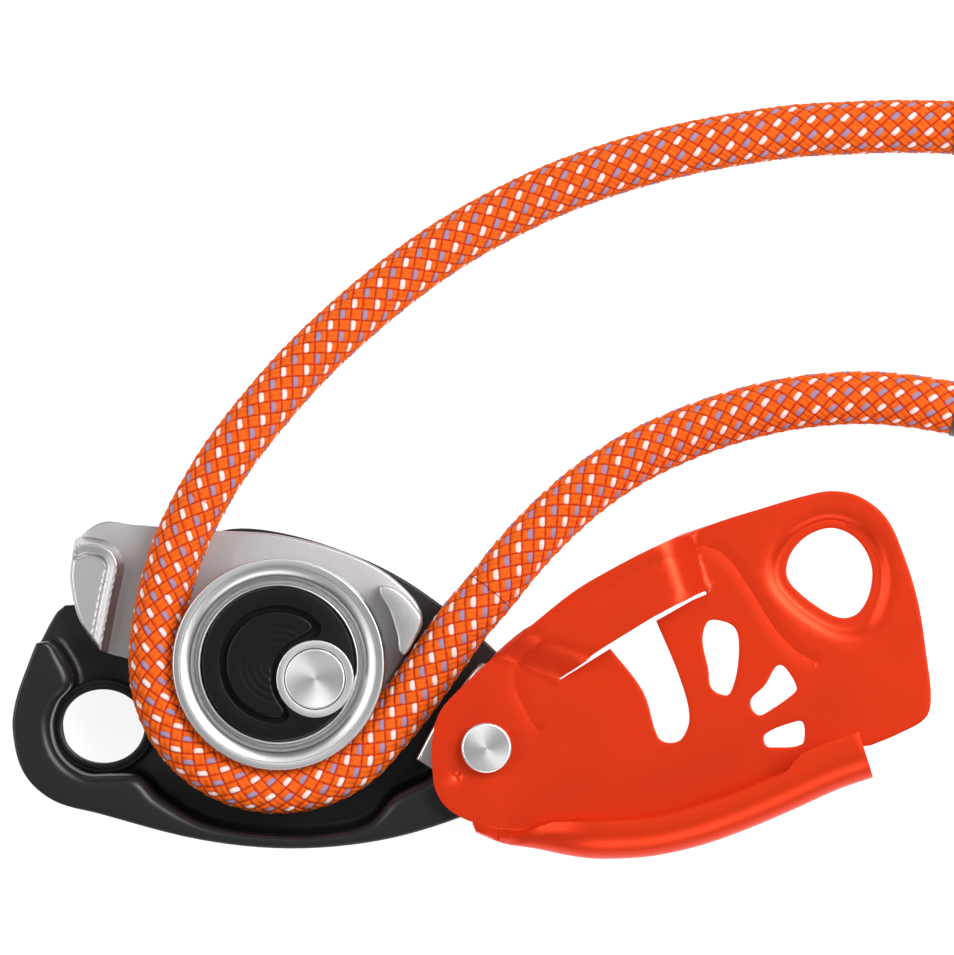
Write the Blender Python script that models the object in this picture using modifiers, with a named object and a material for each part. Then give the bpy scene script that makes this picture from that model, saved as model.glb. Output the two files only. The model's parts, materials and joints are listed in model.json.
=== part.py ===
"""Rope descender: a cam with a free-running wheel between a forged side plate and a swinging one.

It lies on its back, handle side down. +Z points out of the swinging plate's face, +X runs from
the carabiner eye to the open plate's far end, and the origin is under the middle of the device.
Lengths below are in millimetres. Outlines are measured from the axis of the piece they turn on:
the cam axle for the body and the cam, and the hinge rivet for the swinging plate.
"""

import math

import bmesh
import bpy
from mathutils import Matrix, Vector
from mathutils.geometry import delaunay_2d_cdt

MM = 0.001

# Axes that everything turns about, in plan
CAM_AXIS = (-27.67, -0.97)
HINGE_AXIS = (CAM_AXIS[0] + 30.4, CAM_AXIS[1] - 12.1)
WHEEL_OFFSET = (-6.5, 2.6)
WHEEL_AXIS = (CAM_AXIS[0] + WHEEL_OFFSET[0], CAM_AXIS[1] + WHEEL_OFFSET[1])

# Levels, from the surface that the device lies on
HANDLE_BOTTOM = 0.0
HANDLE_TOP = 6.6
HANDLE_ARM_TOP = 5.2
BODY_BACK = 8.0
BODY_FLOOR = 10.6
CAM_BOTTOM = 10.9
CAM_TOP = 13.1
WALL_TOP = 25.5
ROPE_LEVEL = 19.5
PLATE_BOTTOM = 26.3
PLATE_THICKNESS = 2.4
RIVET_TOP = 30.9

GAP = 0.3

# Carabiner eye of the body, and the wall round it
EYE_CENTRE = (-38.1, -8.8)
EYE_RADII = (7.4, 6.6)
EYE_RING_WIDTH = 1.2
EYE_RING_TOP = 12.0
EYE_BACK = 7.5

# The rope and the wheel that it runs on
ROPE_DIAMETER = 9.6
GROOVE_BOTTOM = 16.9
ROPE_TURN_RADIUS = GROOVE_BOTTOM + ROPE_DIAMETER / 2 + GAP
WHEEL_RADIUS = 18.87
WHEEL_BACK = CAM_TOP + 0.7
WHEEL_FRONT = 25.6
WHEEL_BORE = 15.7

# Bearing, from the inside out
HUB_RADIUS = 12.0
INNER_RACE = (12.15, 12.95)
BALL_RADIUS = 0.75
BALL_CIRCLE = 13.9
BALLS = 12
OUTER_RACE = (14.85, 15.5)
RACE_BACK = 16.5
RACE_FRONT = 22.5

# Cam axle and what turns on it
AXLE_RADIUS = 3.2
BUSH_RADIUS = 4.2
AXLE_HEAD_RADIUS = 5.5
COLLAR_RADIUS = 6.5
HUB_COVER_RADIUS = 14.05

# Hinge
RIVET_RADIUS = 2.6
RIVET_HEAD_RADIUS = 4.5
HINGE_BUSH_RADIUS = 3.7

# Handle, on the back: angles are counter-clockwise from +X, seen from the front
HANDLE_HUB_RADIUS = 14.0
HANDLE_REACH = 44.0
HANDLE_ANGLE = -20.0
HANDLE_TRAVEL = 95.0
CAM_TRAVEL = 12.0
DRIVE_PIN_CIRCLE = 9.0
DRIVE_PIN_RADIUS = 1.6
DRIVE_PIN_ANGLE = 115.0

# Side plate: the rolled lip and the pressed-up strap
LIP_RADIUS = 4.5
LIP_RADIUS_AT_HINGE = 1.0
LIP_FLATNESS = 0.8
STRAP_HEIGHT = 4.6
DISH_DEPTH = 0.6

ROUND_STEPS = 48


# ---------------------------------------------------------------- helpers

def clear_scene():
    for old in list(bpy.data.objects):
        bpy.data.objects.remove(old, do_unlink=True)


def new_collection(name):
    collection = bpy.data.collections.new(name)
    bpy.context.scene.collection.children.link(collection)
    return collection


def material(name, colour, roughness, metallic):
    made = bpy.data.materials.new(name)
    made.use_nodes = True
    shader = made.node_tree.nodes["Principled BSDF"]
    shader.inputs["Base Color"].default_value = (*colour, 1.0)
    shader.inputs["Roughness"].default_value = roughness
    shader.inputs["Metallic"].default_value = metallic
    return made


def polar(centre, radius, degrees):
    turn = math.radians(degrees)
    return (centre[0] + radius * math.cos(turn), centre[1] + radius * math.sin(turn))


def circle_nodes(centre, radius_x, radius_y=None, count=8):
    """Nodes of an ellipse, for an outline."""
    radius_y = radius_y or radius_x
    turns = [2 * math.pi * i / count for i in range(count)]
    return [(centre[0] + radius_x * math.cos(t), centre[1] + radius_y * math.sin(t)) for t in turns]


def sample_outline(nodes, per_span=4):
    """Points of a closed smooth curve through the nodes. A node with a third value is a corner."""
    count = len(nodes)
    places = [Vector(node[:2]) for node in nodes]
    corner = [len(node) > 2 for node in nodes]
    points = []
    for i in range(count):
        a, b = places[i], places[(i + 1) % count]
        before, after = places[i - 1], places[(i + 2) % count]
        span = (b - a).length
        leave = (b - a) if corner[i] else (b - before).normalized() * span
        arrive = (b - a) if corner[(i + 1) % count] else (after - a).normalized() * span
        steps = 1 if corner[i] and corner[(i + 1) % count] else per_span
        for k in range(steps):
            t = k / steps
            blend = (
                a * (2 * t**3 - 3 * t**2 + 1)
                + leave * (t**3 - 2 * t**2 + t)
                + b * (3 * t**2 - 2 * t**3)
                + arrive * (t**3 - t**2)
            )
            points.append(blend)
    return points


def add_loop(curve, points):
    spline = curve.splines.new("POLY")
    spline.points.add(len(points) - 1)
    for target, point in zip(spline.points, points):
        target.co = (point[0] * MM, point[1] * MM, 0.0, 1.0)
    spline.use_cyclic_u = True


def curve_to_mesh(guide, name, collection):
    """The curve as a mesh object with its caps welded; the curve is removed."""
    bpy.context.view_layer.update()
    evaluated = guide.evaluated_get(bpy.context.evaluated_depsgraph_get())
    mesh = bpy.data.meshes.new_from_object(evaluated)
    made = bmesh.new()
    made.from_mesh(mesh)
    bmesh.ops.remove_doubles(made, verts=made.verts, dist=0.000001)
    made.to_mesh(mesh)
    made.free()
    mesh.name = name
    solid = bpy.data.objects.new(name, mesh)
    solid.matrix_world = guide.matrix_world
    bpy.data.objects.remove(guide, do_unlink=True)
    collection.objects.link(solid)
    return solid


def slab(name, collection, axis, bottom, top, loops, per_span=4):
    """A flat solid between two levels: the first loop is its outline, the others are holes."""
    curve = bpy.data.curves.new(name, "CURVE")
    curve.dimensions = "2D"
    curve.fill_mode = "BOTH"
    curve.extrude = (top - bottom) / 2 * MM
    for nodes in loops:
        add_loop(curve, sample_outline(nodes, per_span))
    guide = bpy.data.objects.new(name + "_outline", curve)
    guide.location = (axis[0] * MM, axis[1] * MM, (top + bottom) / 2 * MM)
    bpy.context.scene.collection.objects.link(guide)
    return curve_to_mesh(guide, name, collection)


def turned(name, collection, axis, profile, closed=False, steps=ROUND_STEPS):
    """A turned solid: the profile's (radius, level) points run down its outer side."""
    mesh = bpy.data.meshes.new(name)
    points = [(radius * MM, 0.0, level * MM) for radius, level in profile]
    edges = [(i, i + 1) for i in range(len(points) - 1)]
    if closed:
        edges.append((len(points) - 1, 0))
    mesh.from_pydata(points, edges, [])
    solid = bpy.data.objects.new(name, mesh)
    solid.location = (axis[0] * MM, axis[1] * MM, 0.0)
    collection.objects.link(solid)
    screw = solid.modifiers.new("turn", "SCREW")
    screw.steps = steps
    screw.render_steps = steps
    screw.use_merge_vertices = True
    screw.merge_threshold = 0.000001
    return solid


def ring(name, collection, axis, inner, outer, bottom, top, steps=ROUND_STEPS):
    profile = [(outer, top), (outer, bottom), (inner, bottom), (inner, top)]
    return turned(name, collection, axis, profile, closed=True, steps=steps)


def peg(name, collection, axis, profile, steps=24):
    """A turned solid that is closed on its axis, from its top to its bottom."""
    ends = [(0.0, profile[0][1]), *profile, (0.0, profile[-1][1])]
    return turned(name, collection, axis, ends, steps=steps)


def boolean(target, tool, operation, cutters):
    """Joins the tool to the target, or cuts it away; the tool becomes a hidden guide."""
    change = target.modifiers.new(tool.name, "BOOLEAN")
    change.object = tool
    change.operation = operation
    change.solver = "EXACT"
    for owner in list(tool.users_collection):
        owner.objects.unlink(tool)
    cutters.objects.link(tool)
    tool.hide_render = True
    tool.display_type = "WIRE"


def tube(name, collection, points, radius, bevel_resolution=2):
    """A round bar through the points, with flat ends."""
    curve = bpy.data.curves.new(name, "CURVE")
    curve.dimensions = "3D"
    curve.bevel_depth = radius * MM
    curve.bevel_resolution = bevel_resolution
    curve.use_fill_caps = True
    spline = curve.splines.new("POLY")
    spline.points.add(len(points) - 1)
    for target, point in zip(spline.points, points):
        target.co = (point[0] * MM, point[1] * MM, point[2] * MM, 1.0)
    rod = bpy.data.objects.new(name, curve)
    collection.objects.link(rod)
    return rod


def hang_on(empty, pieces):
    """Parents the pieces to the empty on their joint's axis, where they are."""
    bpy.context.view_layer.update()
    for piece in pieces:
        piece.parent = empty
        piece.matrix_parent_inverse = empty.matrix_world.inverted()


def joint_empty(name, collection, axis, level):
    empty = bpy.data.objects.new(name, None)
    empty.location = (axis[0] * MM, axis[1] * MM, level * MM)
    empty.empty_display_size = 0.01
    collection.objects.link(empty)
    return empty


def finish(solid, finish_material):
    """Gives the piece its material and shades its round faces smooth."""
    solid.data.materials.clear()
    solid.data.materials.append(finish_material)
    if solid.type == "MESH":
        solid.data.shade_smooth()
        solid.data.set_sharp_from_angle(angle=math.radians(35.0))
    return solid


# ---------------------------------------------------------------- fixed side plate

BODY_OUTLINE = [
    (-53.6, -9.3), (-53.0, -3.6), (-50.3, 4.1), (-46.7, 11.2), (-45.0, 12.8, 0), (-42.0, 13.0, 0),
    (-30.0, 20.5), (-17.0, 26.2), (-6.4, 25.8), (7.9, 21.3), (18.6, 15.5), (32.3, 4.4),
    (37.6, -3.0), (38.8, -12.0), (35.0, -20.0), (25.7, -24.6), (11.4, -28.7), (-4.6, -30.1),
    (-20.6, -28.5), (-38.4, -23.9), (-46.4, -21.6), (-51.6, -16.8),
]

# The channel's floor: inside the eye's wall, along the bottom wall and past the hinge post. It
# runs out past the body where the wall is left out, so that both strands of rope can leave.
CHANNEL_OUTLINE = [
    (-60.0, 6.4, 0), (-49.0, 6.4, 0), (-46.2, 5.6), (-43.2, -0.6, 0), (-45.8, -4.4),
    (-46.9, -8.6), (-45.4, -13.6), (-41.1, -16.9), (-36.0, -17.1), (-31.6, -17.4),
    (-27.7, -21.2), (-18.8, -26.2), (-4.6, -28.0), (4.3, -27.3), (9.7, -25.6), (14.0, -21.0),
    (21.6, -16.6), (25.4, -9.7), (29.2, -3.8), (31.8, 0.4, 0), (45.0, 6.0, 0), (30.0, 40.0, 0),
    (-60.0, 40.0, 0),
]


def drive_slot_nodes(first, last, half_width, centre=(0.0, 0.0)):
    """An arc slot about the cam axle, from one angle to the other, with room for the drive pin."""
    span = [first + (last - first) * i / 8 for i in range(9)]
    outer = [polar(centre, DRIVE_PIN_CIRCLE + half_width, degrees) for degrees in span]
    inner = [polar(centre, DRIVE_PIN_CIRCLE - half_width, degrees) for degrees in reversed(span)]
    return outer + inner


def fixed_side_plate(parts, cutters, paint):
    eye = circle_nodes(EYE_CENTRE, *EYE_RADII)
    plate = slab("fixed_side_plate", parts, CAM_AXIS, BODY_BACK, WALL_TOP, [BODY_OUTLINE, eye])
    channel = slab("channel_cutter", cutters, CAM_AXIS, BODY_FLOOR, 40.0, [CHANNEL_OUTLINE])
    boolean(plate, channel, "DIFFERENCE", cutters)
    ring_outer = circle_nodes(
        EYE_CENTRE, EYE_RADII[0] + EYE_RING_WIDTH, EYE_RADII[1] + EYE_RING_WIDTH
    )
    raised_ring = slab(
        "eye_ring_guide", cutters, CAM_AXIS, EYE_BACK, EYE_RING_TOP, [ring_outer, eye]
    )
    boolean(plate, raised_ring, "UNION", cutters)
    axle_hole = peg(
        "axle_hole_cutter", cutters, CAM_AXIS, [(AXLE_RADIUS + GAP, 40.0), (AXLE_RADIUS + GAP, 0.0)]
    )
    boolean(plate, axle_hole, "DIFFERENCE", cutters)
    rivet_hole = peg(
        "rivet_hole_cutter", cutters, HINGE_AXIS,
        [(RIVET_RADIUS + GAP, 40.0), (RIVET_RADIUS + GAP, 0.0)],
    )
    boolean(plate, rivet_hole, "DIFFERENCE", cutters)
    margin = math.degrees(math.atan2(DRIVE_PIN_RADIUS + GAP, DRIVE_PIN_CIRCLE))
    slot = slab(
        "drive_slot_cutter", cutters, CAM_AXIS, 0.0, 40.0,
        [drive_slot_nodes(
            DRIVE_PIN_ANGLE - margin, DRIVE_PIN_ANGLE + HANDLE_TRAVEL + margin,
            DRIVE_PIN_RADIUS + GAP,
        )],
        per_span=1,
    )
    boolean(plate, slot, "DIFFERENCE", cutters)
    for index, place in enumerate(FRICTION_SCREWS):
        spot = (CAM_AXIS[0] + place[0], CAM_AXIS[1] + place[1])
        hole = peg(
            f"friction_screw_hole_cutter_{index + 1}", cutters, spot,
            [(0.8 + GAP, 40.0), (0.8 + GAP, BODY_BACK + 1.5), (2.0, BODY_BACK + 1.5), (2.0, 0.0)],
            steps=16,
        )
        boolean(plate, hole, "DIFFERENCE", cutters)
    return finish(plate, paint)


# ---------------------------------------------------------------- friction plate by the hinge

FRICTION_OUTLINE = [
    (17.9, -14.3, 0), (21.9, -6.9), (26.6, -0.6), (29.0, 2.4, 0), (30.6, 2.0, 0), (31.2, 0.4, 0),
    (28.6, -3.7), (24.9, -9.5), (21.1, -16.3, 0),
]
FRICTION_SCREWS = [(21.2, -12.4), (27.6, -2.1)]
FRICTION_TOP = 25.3


def friction_plate(parts, cutters, steel):
    plate = slab(
        "friction_plate", parts, CAM_AXIS, BODY_FLOOR + GAP, FRICTION_TOP, [FRICTION_OUTLINE], 3
    )
    for index, place in enumerate(FRICTION_SCREWS):
        spot = (CAM_AXIS[0] + place[0], CAM_AXIS[1] + place[1])
        hole = peg(
            f"friction_thread_cutter_{index + 1}", cutters, spot,
            [(0.8 + GAP, BODY_FLOOR + 5.0), (0.8 + GAP, 0.0)], steps=16,
        )
        boolean(plate, hole, "DIFFERENCE", cutters)
    return finish(plate, steel)


def friction_plate_screws(parts, steel):
    """Two screws, up through the body's floor, that hold the friction plate."""
    for index, place in enumerate(FRICTION_SCREWS):
        spot = (CAM_AXIS[0] + place[0], CAM_AXIS[1] + place[1])
        screw = peg(
            f"friction_plate_screw_{index + 1}", parts, spot,
            [(0.8, BODY_FLOOR + 4.4), (0.8, BODY_BACK + 1.2), (1.7, BODY_BACK + 1.2),
             (1.7, BODY_BACK + 0.2)],
            steps=16,
        )
        finish(screw, steel)


# ---------------------------------------------------------------- hinge

def hinge(parts, steel, bronze, nylon):
    """The rivet with its back washer, and the washer and bush that the side plate turns on."""
    rivet = peg(
        "hinge_rivet", parts, HINGE_AXIS,
        [(2.3, RIVET_TOP), (3.9, RIVET_TOP - 0.5), (RIVET_HEAD_RADIUS, RIVET_TOP - 1.1),
         (RIVET_HEAD_RADIUS, 29.3), (RIVET_RADIUS, 29.3), (RIVET_RADIUS, 6.9),
         (3.4, 6.9), (3.2, 5.9)],
        steps=32,
    )
    finish(rivet, steel)
    washer = ring(
        "hinge_back_washer", parts, HINGE_AXIS, RIVET_RADIUS + GAP, 4.8, 7.1, 7.8, steps=32
    )
    finish(washer, steel)
    bush = ring(
        "hinge_bush", parts, HINGE_AXIS, RIVET_RADIUS + GAP, HINGE_BUSH_RADIUS,
        PLATE_BOTTOM - 0.1, 29.05, steps=32,
    )
    finish(bush, bronze)
    spacer = ring(
        "hinge_washer", parts, HINGE_AXIS, RIVET_RADIUS + GAP, 5.4, WALL_TOP + 0.1,
        PLATE_BOTTOM - 0.2, steps=32,
    )
    finish(spacer, nylon)


# ---------------------------------------------------------------- cam

CAM_OUTLINE = [
    (-38.4, 27.7), (-33.1, 27.3), (-17.9, 26.2), (-6.4, 25.4), (6.1, 21.9), (14.4, 17.1),
    (19.0, 10.6), (16.2, 4.2), (12.5, -2.2), (8.6, -12.0), (-6.5, -16.6), (-20.0, -10.0),
    (-26.0, 0.4), (-33.8, 3.2), (-38.6, 4.9), (-42.2, 10.3), (-43.8, 17.4), (-42.6, 24.2),
]
GUIDE_WING_OUTLINE = [
    (-42.6, 24.2, 0), (-38.4, 24.3), (-35.6, 22.6), (-34.7, 18.6), (-35.9, 11.0), (-37.2, 4.6, 0),
    (-39.4, 5.9, 0), (-42.0, 10.4), (-43.6, 17.4),
]
JAW_OUTLINE = [
    (11.8, 16.6), (14.9, 15.5), (18.4, 11.8), (18.9, 10.3), (17.6, 6.8), (15.9, 4.3), (14.9, 4.8),
    (14.5, 7.6), (13.1, 12.1), (11.4, 15.3),
]
WING_TOP = 17.2
JAW_TOP = 24.9


def cam_plate(parts, cutters, steel):
    plate = slab("cam_plate", parts, CAM_AXIS, CAM_BOTTOM, CAM_TOP, [CAM_OUTLINE])
    wing = slab("guide_wing", cutters, CAM_AXIS, CAM_BOTTOM + 0.5, WING_TOP, [GUIDE_WING_OUTLINE], 3)
    boolean(plate, wing, "UNION", cutters)
    jaw = slab("pinch_jaw", cutters, CAM_AXIS, CAM_BOTTOM + 0.5, JAW_TOP, [JAW_OUTLINE], 3)
    boolean(plate, jaw, "UNION", cutters)
    bore = peg(
        "cam_bore_cutter", cutters, CAM_AXIS,
        [(BUSH_RADIUS + GAP, 40.0), (BUSH_RADIUS + GAP, 0.0)],
    )
    boolean(plate, bore, "DIFFERENCE", cutters)
    margin = math.degrees(math.atan2(DRIVE_PIN_RADIUS + GAP, DRIVE_PIN_CIRCLE))
    slot = slab(
        "cam_slot_cutter", cutters, CAM_AXIS, 0.0, 40.0,
        [drive_slot_nodes(
            DRIVE_PIN_ANGLE - margin, DRIVE_PIN_ANGLE + HANDLE_TRAVEL + CAM_TRAVEL + margin,
            DRIVE_PIN_RADIUS + GAP,
        )],
        per_span=1,
    )
    boolean(plate, slot, "DIFFERENCE", cutters)
    for index, spot in enumerate(hub_screw_places()):
        hole = peg(
            f"hub_screw_hole_cutter_{index + 1}", cutters, spot,
            [(1.1 + GAP, 40.0), (1.1 + GAP, CAM_BOTTOM + 1.2), (2.2, CAM_BOTTOM + 1.2), (2.2, 0.0)],
            steps=16,
        )
        boolean(plate, hole, "DIFFERENCE", cutters)
    return finish(plate, steel)


def hub_screw_places():
    """The two screws that hold the hub to the cam plate, on the hub's far side from the axle."""
    return [polar(WHEEL_AXIS, 8.6, 130.0), polar(WHEEL_AXIS, 8.6, 200.0)]


def cam_hub(parts, cutters, alloy):
    """The eccentric core of the wheel: the cam axle runs through it near its edge."""
    hub = peg(
        "cam_hub", parts, WHEEL_AXIS,
        [(HUB_RADIUS, 23.0), (HUB_RADIUS, RACE_BACK - 0.2), (HUB_RADIUS + 0.6, RACE_BACK - 0.2),
         (HUB_RADIUS + 0.6, CAM_TOP + GAP)],
        steps=ROUND_STEPS,
    )
    bore = peg(
        "hub_bore_cutter", cutters, CAM_AXIS,
        [(BUSH_RADIUS + GAP, 40.0), (BUSH_RADIUS + GAP, 0.0)],
    )
    boolean(hub, bore, "DIFFERENCE", cutters)
    for index, spot in enumerate(hub_screw_places()):
        hole = peg(
            f"hub_thread_cutter_{index + 1}", cutters, spot,
            [(1.1 + GAP, 19.0), (1.1 + GAP, 0.0)], steps=16,
        )
        boolean(hub, hole, "DIFFERENCE", cutters)
    return finish(hub, alloy)


def cam_hub_screws(parts, steel):
    made = []
    for index, spot in enumerate(hub_screw_places()):
        screw = peg(
            f"cam_hub_screw_{index + 1}", parts, spot,
            [(1.1, 18.4), (1.1, CAM_BOTTOM + 0.9), (1.9, CAM_BOTTOM + 0.9), (1.9, CAM_BOTTOM + 0.1)],
            steps=16,
        )
        made.append(finish(screw, steel))
    return made


def crescent_nodes():
    """The crescent between a circle about the wheel's axis and one about the cam axle."""
    far_side = [polar(WHEEL_OFFSET, 10.6, degrees) for degrees in range(52, 269, 24)]
    near_side = [polar((0.0, 0.0), 7.9, degrees) for degrees in range(222, 95, -21)]
    return far_side + [(-5.9, -7.2)] + near_side + [(0.3, 9.4)]


def hub_cover(parts, cutters, black):
    """The black cover over the bearing: its crescent recess is cut round the axle's collar."""
    cover = peg(
        "hub_cover", parts, WHEEL_AXIS,
        [(13.6, 25.4), (HUB_COVER_RADIUS, 25.0), (HUB_COVER_RADIUS, 23.3)],
        steps=ROUND_STEPS,
    )
    cover_floor = 24.2
    recess = slab(
        "crescent_cutter", cutters, CAM_AXIS, cover_floor, 40.0, [crescent_nodes()], per_span=2
    )
    boolean(cover, recess, "DIFFERENCE", cutters)
    bore = peg(
        "cover_bore_cutter", cutters, CAM_AXIS,
        [(COLLAR_RADIUS + GAP, 40.0), (COLLAR_RADIUS + GAP, 0.0)],
    )
    boolean(cover, bore, "DIFFERENCE", cutters)
    return finish(cover, black)


def cam_axle(parts, steel):
    """The fixed pin with its collar in front and its nut behind."""
    pin = peg(
        "cam_axle", parts, CAM_AXIS,
        [(5.0, 25.8), (AXLE_HEAD_RADIUS, 25.4), (AXLE_HEAD_RADIUS, 24.2), (AXLE_RADIUS, 24.2),
         (AXLE_RADIUS, 0.7)],
        steps=32,
    )
    finish(pin, steel)
    collar = ring(
        "cam_axle_collar", parts, CAM_AXIS, AXLE_HEAD_RADIUS + 0.2, COLLAR_RADIUS, 23.3, 25.5,
        steps=40,
    )
    finish(collar, steel)
    nut = slab(
        "cam_axle_nut", parts, CAM_AXIS, 0.6, 2.6,
        [[(*polar((0.0, 0.0), 5.2, 60.0 * i), 0) for i in range(6)],
         circle_nodes((0.0, 0.0), AXLE_RADIUS + GAP)],
        3,
    )
    finish(nut, steel)


def cam_bush(parts, bronze):
    bush = ring(
        "cam_bush", parts, CAM_AXIS, AXLE_RADIUS + 0.2, BUSH_RADIUS, CAM_BOTTOM + 0.1, 22.9,
        steps=32,
    )
    return finish(bush, bronze)


# ---------------------------------------------------------------- wheel and its bearing

def rope_wheel(parts, steel):
    """The sheave: a groove that fits the rope, and a dished front face."""
    groove_radius = ROPE_DIAMETER / 2 + 0.5
    groove_centre = GROOVE_BOTTOM + groove_radius
    half_angles = [-42 + 14 * i for i in range(7)]
    groove = [
        (groove_centre - groove_radius * math.cos(math.radians(turn)),
         ROPE_LEVEL - groove_radius * math.sin(math.radians(turn)))
        for turn in half_angles
    ]
    profile = [
        (14.4, 24.6), (15.3, 23.9), (16.3, 24.4), (17.4, 25.5), (18.5, WHEEL_FRONT),
        (WHEEL_RADIUS, 25.2), (WHEEL_RADIUS - 0.1, 24.5), *groove,
        (WHEEL_RADIUS - 0.1, 14.5), (WHEEL_RADIUS - 0.3, WHEEL_BACK), (WHEEL_BORE, WHEEL_BACK),
        (WHEEL_BORE, 22.7), (14.4, 22.9),
    ]
    wheel = turned("rope_wheel", parts, WHEEL_AXIS, profile, closed=True)
    return finish(wheel, steel)


def bearing(parts, cutters, steel, nylon):
    """The races, then the cage with its balls."""
    inner = ring(
        "bearing_inner_race", parts, WHEEL_AXIS, INNER_RACE[0], INNER_RACE[1], RACE_BACK,
        RACE_FRONT,
    )
    finish(inner, steel)
    outer = ring(
        "bearing_outer_race", parts, WHEEL_AXIS, OUTER_RACE[0], OUTER_RACE[1], RACE_BACK,
        RACE_FRONT,
    )
    finish(outer, steel)
    cage = ring("bearing_cage", parts, WHEEL_AXIS, 13.35, 14.45, 18.7, 21.4)
    for index in range(BALLS // 2):
        pocket = bpy.data.meshes.new("ball_pocket")
        built = bmesh.new()
        bmesh.ops.create_cone(
            built, cap_ends=True, segments=16, radius1=1.0 * MM, radius2=1.0 * MM,
            depth=32.0 * MM, matrix=Matrix.Rotation(math.radians(90.0), 4, "Y"),
        )
        built.to_mesh(pocket)
        built.free()
        cutter = bpy.data.objects.new(f"ball_pocket_cutter_{index + 1}", pocket)
        cutter.location = (WHEEL_AXIS[0] * MM, WHEEL_AXIS[1] * MM, ROPE_LEVEL * MM)
        cutter.rotation_euler = (0.0, 0.0, math.radians(360.0 / BALLS * index))
        cutters.objects.link(cutter)
        boolean(cage, cutter, "DIFFERENCE", cutters)
    finish(cage, nylon)
    rolling = [cage]
    for index in range(BALLS):
        spot = polar(WHEEL_AXIS, BALL_CIRCLE, 360.0 / BALLS * index)
        mesh = bpy.data.meshes.new("bearing_ball")
        built = bmesh.new()
        bmesh.ops.create_icosphere(built, subdivisions=2, radius=BALL_RADIUS * MM)
        built.to_mesh(mesh)
        built.free()
        ball = bpy.data.objects.new(f"bearing_ball_{index + 1:02d}", mesh)
        ball.location = (spot[0] * MM, spot[1] * MM, ROPE_LEVEL * MM)
        parts.objects.link(ball)
        rolling.append(finish(ball, steel))
    return inner, outer, rolling


# ---------------------------------------------------------------- handle, on the back

def handle_arm_nodes():
    """The arm along +X from the axle: it narrows, then ends in a round finger tab."""
    return [
        (6.0, 8.6, 0), (18.0, 6.4), (30.0, 5.2), (38.0, 5.8), (44.6, 5.4), (HANDLE_REACH + 4.6, 0.0),
        (44.6, -5.4), (38.0, -5.8), (30.0, -5.2), (18.0, -6.4), (6.0, -8.6, 0),
    ]


def handle(parts, cutters, black, steel):
    lever = peg(
        "handle_lever", parts, CAM_AXIS,
        [(HANDLE_HUB_RADIUS - 0.6, HANDLE_TOP), (HANDLE_HUB_RADIUS, HANDLE_TOP - 0.6),
         (HANDLE_HUB_RADIUS, 0.6), (HANDLE_HUB_RADIUS - 0.6, HANDLE_BOTTOM)],
        steps=ROUND_STEPS,
    )
    arm = slab(
        "handle_arm", cutters, CAM_AXIS, HANDLE_BOTTOM, HANDLE_ARM_TOP, [handle_arm_nodes()]
    )
    arm.rotation_euler = (0.0, 0.0, math.radians(HANDLE_ANGLE))
    boolean(lever, arm, "UNION", cutters)
    cavity = peg("handle_cavity_cutter", cutters, CAM_AXIS, [(12.5, 40.0), (12.5, 2.8)])
    boolean(lever, cavity, "DIFFERENCE", cutters)
    nut_room = peg("nut_room_cutter", cutters, CAM_AXIS, [(5.6, 40.0), (5.6, -10.0)], steps=32)
    boolean(lever, nut_room, "DIFFERENCE", cutters)
    finish(lever, black)
    drive_plate = ring(
        "handle_drive_plate", parts, CAM_AXIS, AXLE_RADIUS + GAP, 12.2, 2.95, 3.9, steps=40
    )
    pin_place = polar(CAM_AXIS, DRIVE_PIN_CIRCLE, DRIVE_PIN_ANGLE)
    pin_hole = peg(
        "pin_hole_cutter", cutters, pin_place,
        [(DRIVE_PIN_RADIUS + 0.2, 10.0), (DRIVE_PIN_RADIUS + 0.2, 0.0)], steps=20,
    )
    boolean(drive_plate, pin_hole, "DIFFERENCE", cutters)
    finish(drive_plate, steel)
    pin = peg(
        "handle_drive_pin", parts, pin_place,
        [(DRIVE_PIN_RADIUS - 0.3, 13.0), (DRIVE_PIN_RADIUS, 12.7), (DRIVE_PIN_RADIUS, 2.95)],
        steps=20,
    )
    finish(pin, steel)
    return lever, drive_plate, pin


def coil_points(radius, bottom, top, turns, first_angle):
    """A helix about the cam axle."""
    steps = int(turns * 14)
    points = []
    for i in range(steps + 1):
        share = i / steps
        x, y = polar(CAM_AXIS, radius, first_angle + 360.0 * turns * share)
        points.append((x, y, bottom + (top - bottom) * share))
    return points


def springs(parts, spring_steel):
    cam_spring = tube(
        "cam_return_spring", parts, coil_points(11.7, 4.7, 6.9, 1.6, 200.0), 0.45
    )
    finish(cam_spring, spring_steel)
    handle_spring = tube(
        "handle_return_spring", parts, coil_points(6.2, 4.6, 7.0, 2.0, 20.0), 0.5
    )
    finish(handle_spring, spring_steel)


# ---------------------------------------------------------------- swinging side plate

# Upper edge of the open plate, from the hinge end round to the far end's lower corner
PLATE_EDGE = [
    (-9.6, 1.6), (-8.2, 6.4), (-4.6, 10.5), (0.6, 15.4), (7.7, 21.5), (14.9, 27.3), (20.2, 30.6),
    (30.9, 36.1), (41.6, 40.1), (48.7, 42.3), (55.8, 44.4), (61.1, 45.4), (66.0, 44.4),
    (70.6, 40.8), (73.6, 34.6), (76.3, 25.9), (77.8, 16.4), (78.6, 8.6), (77.6, 5.2), (73.0, 2.5),
    (68.0, 0.4, 0),
]
# The line that the brake lip is rolled up from, from the far end back to the hinge end
LIP_LINE = [
    (66.4, 0.2, 0), (60.0, -2.0), (52.0, -5.6), (44.0, -9.0), (36.0, -11.8), (28.0, -13.5),
    (20.0, -13.9), (10.0, -13.9), (3.0, -14.2), (-2.4, -13.2), (-6.6, -11.0), (-8.9, -7.8),
    (-9.6, -3.6),
]
STRAP_EDGE = [(8.5, 12.9), (13.4, 13.9), (21.3, 18.2), (29.1, 23.0), (36.2, 26.8), (38.9, 27.9)]
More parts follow.
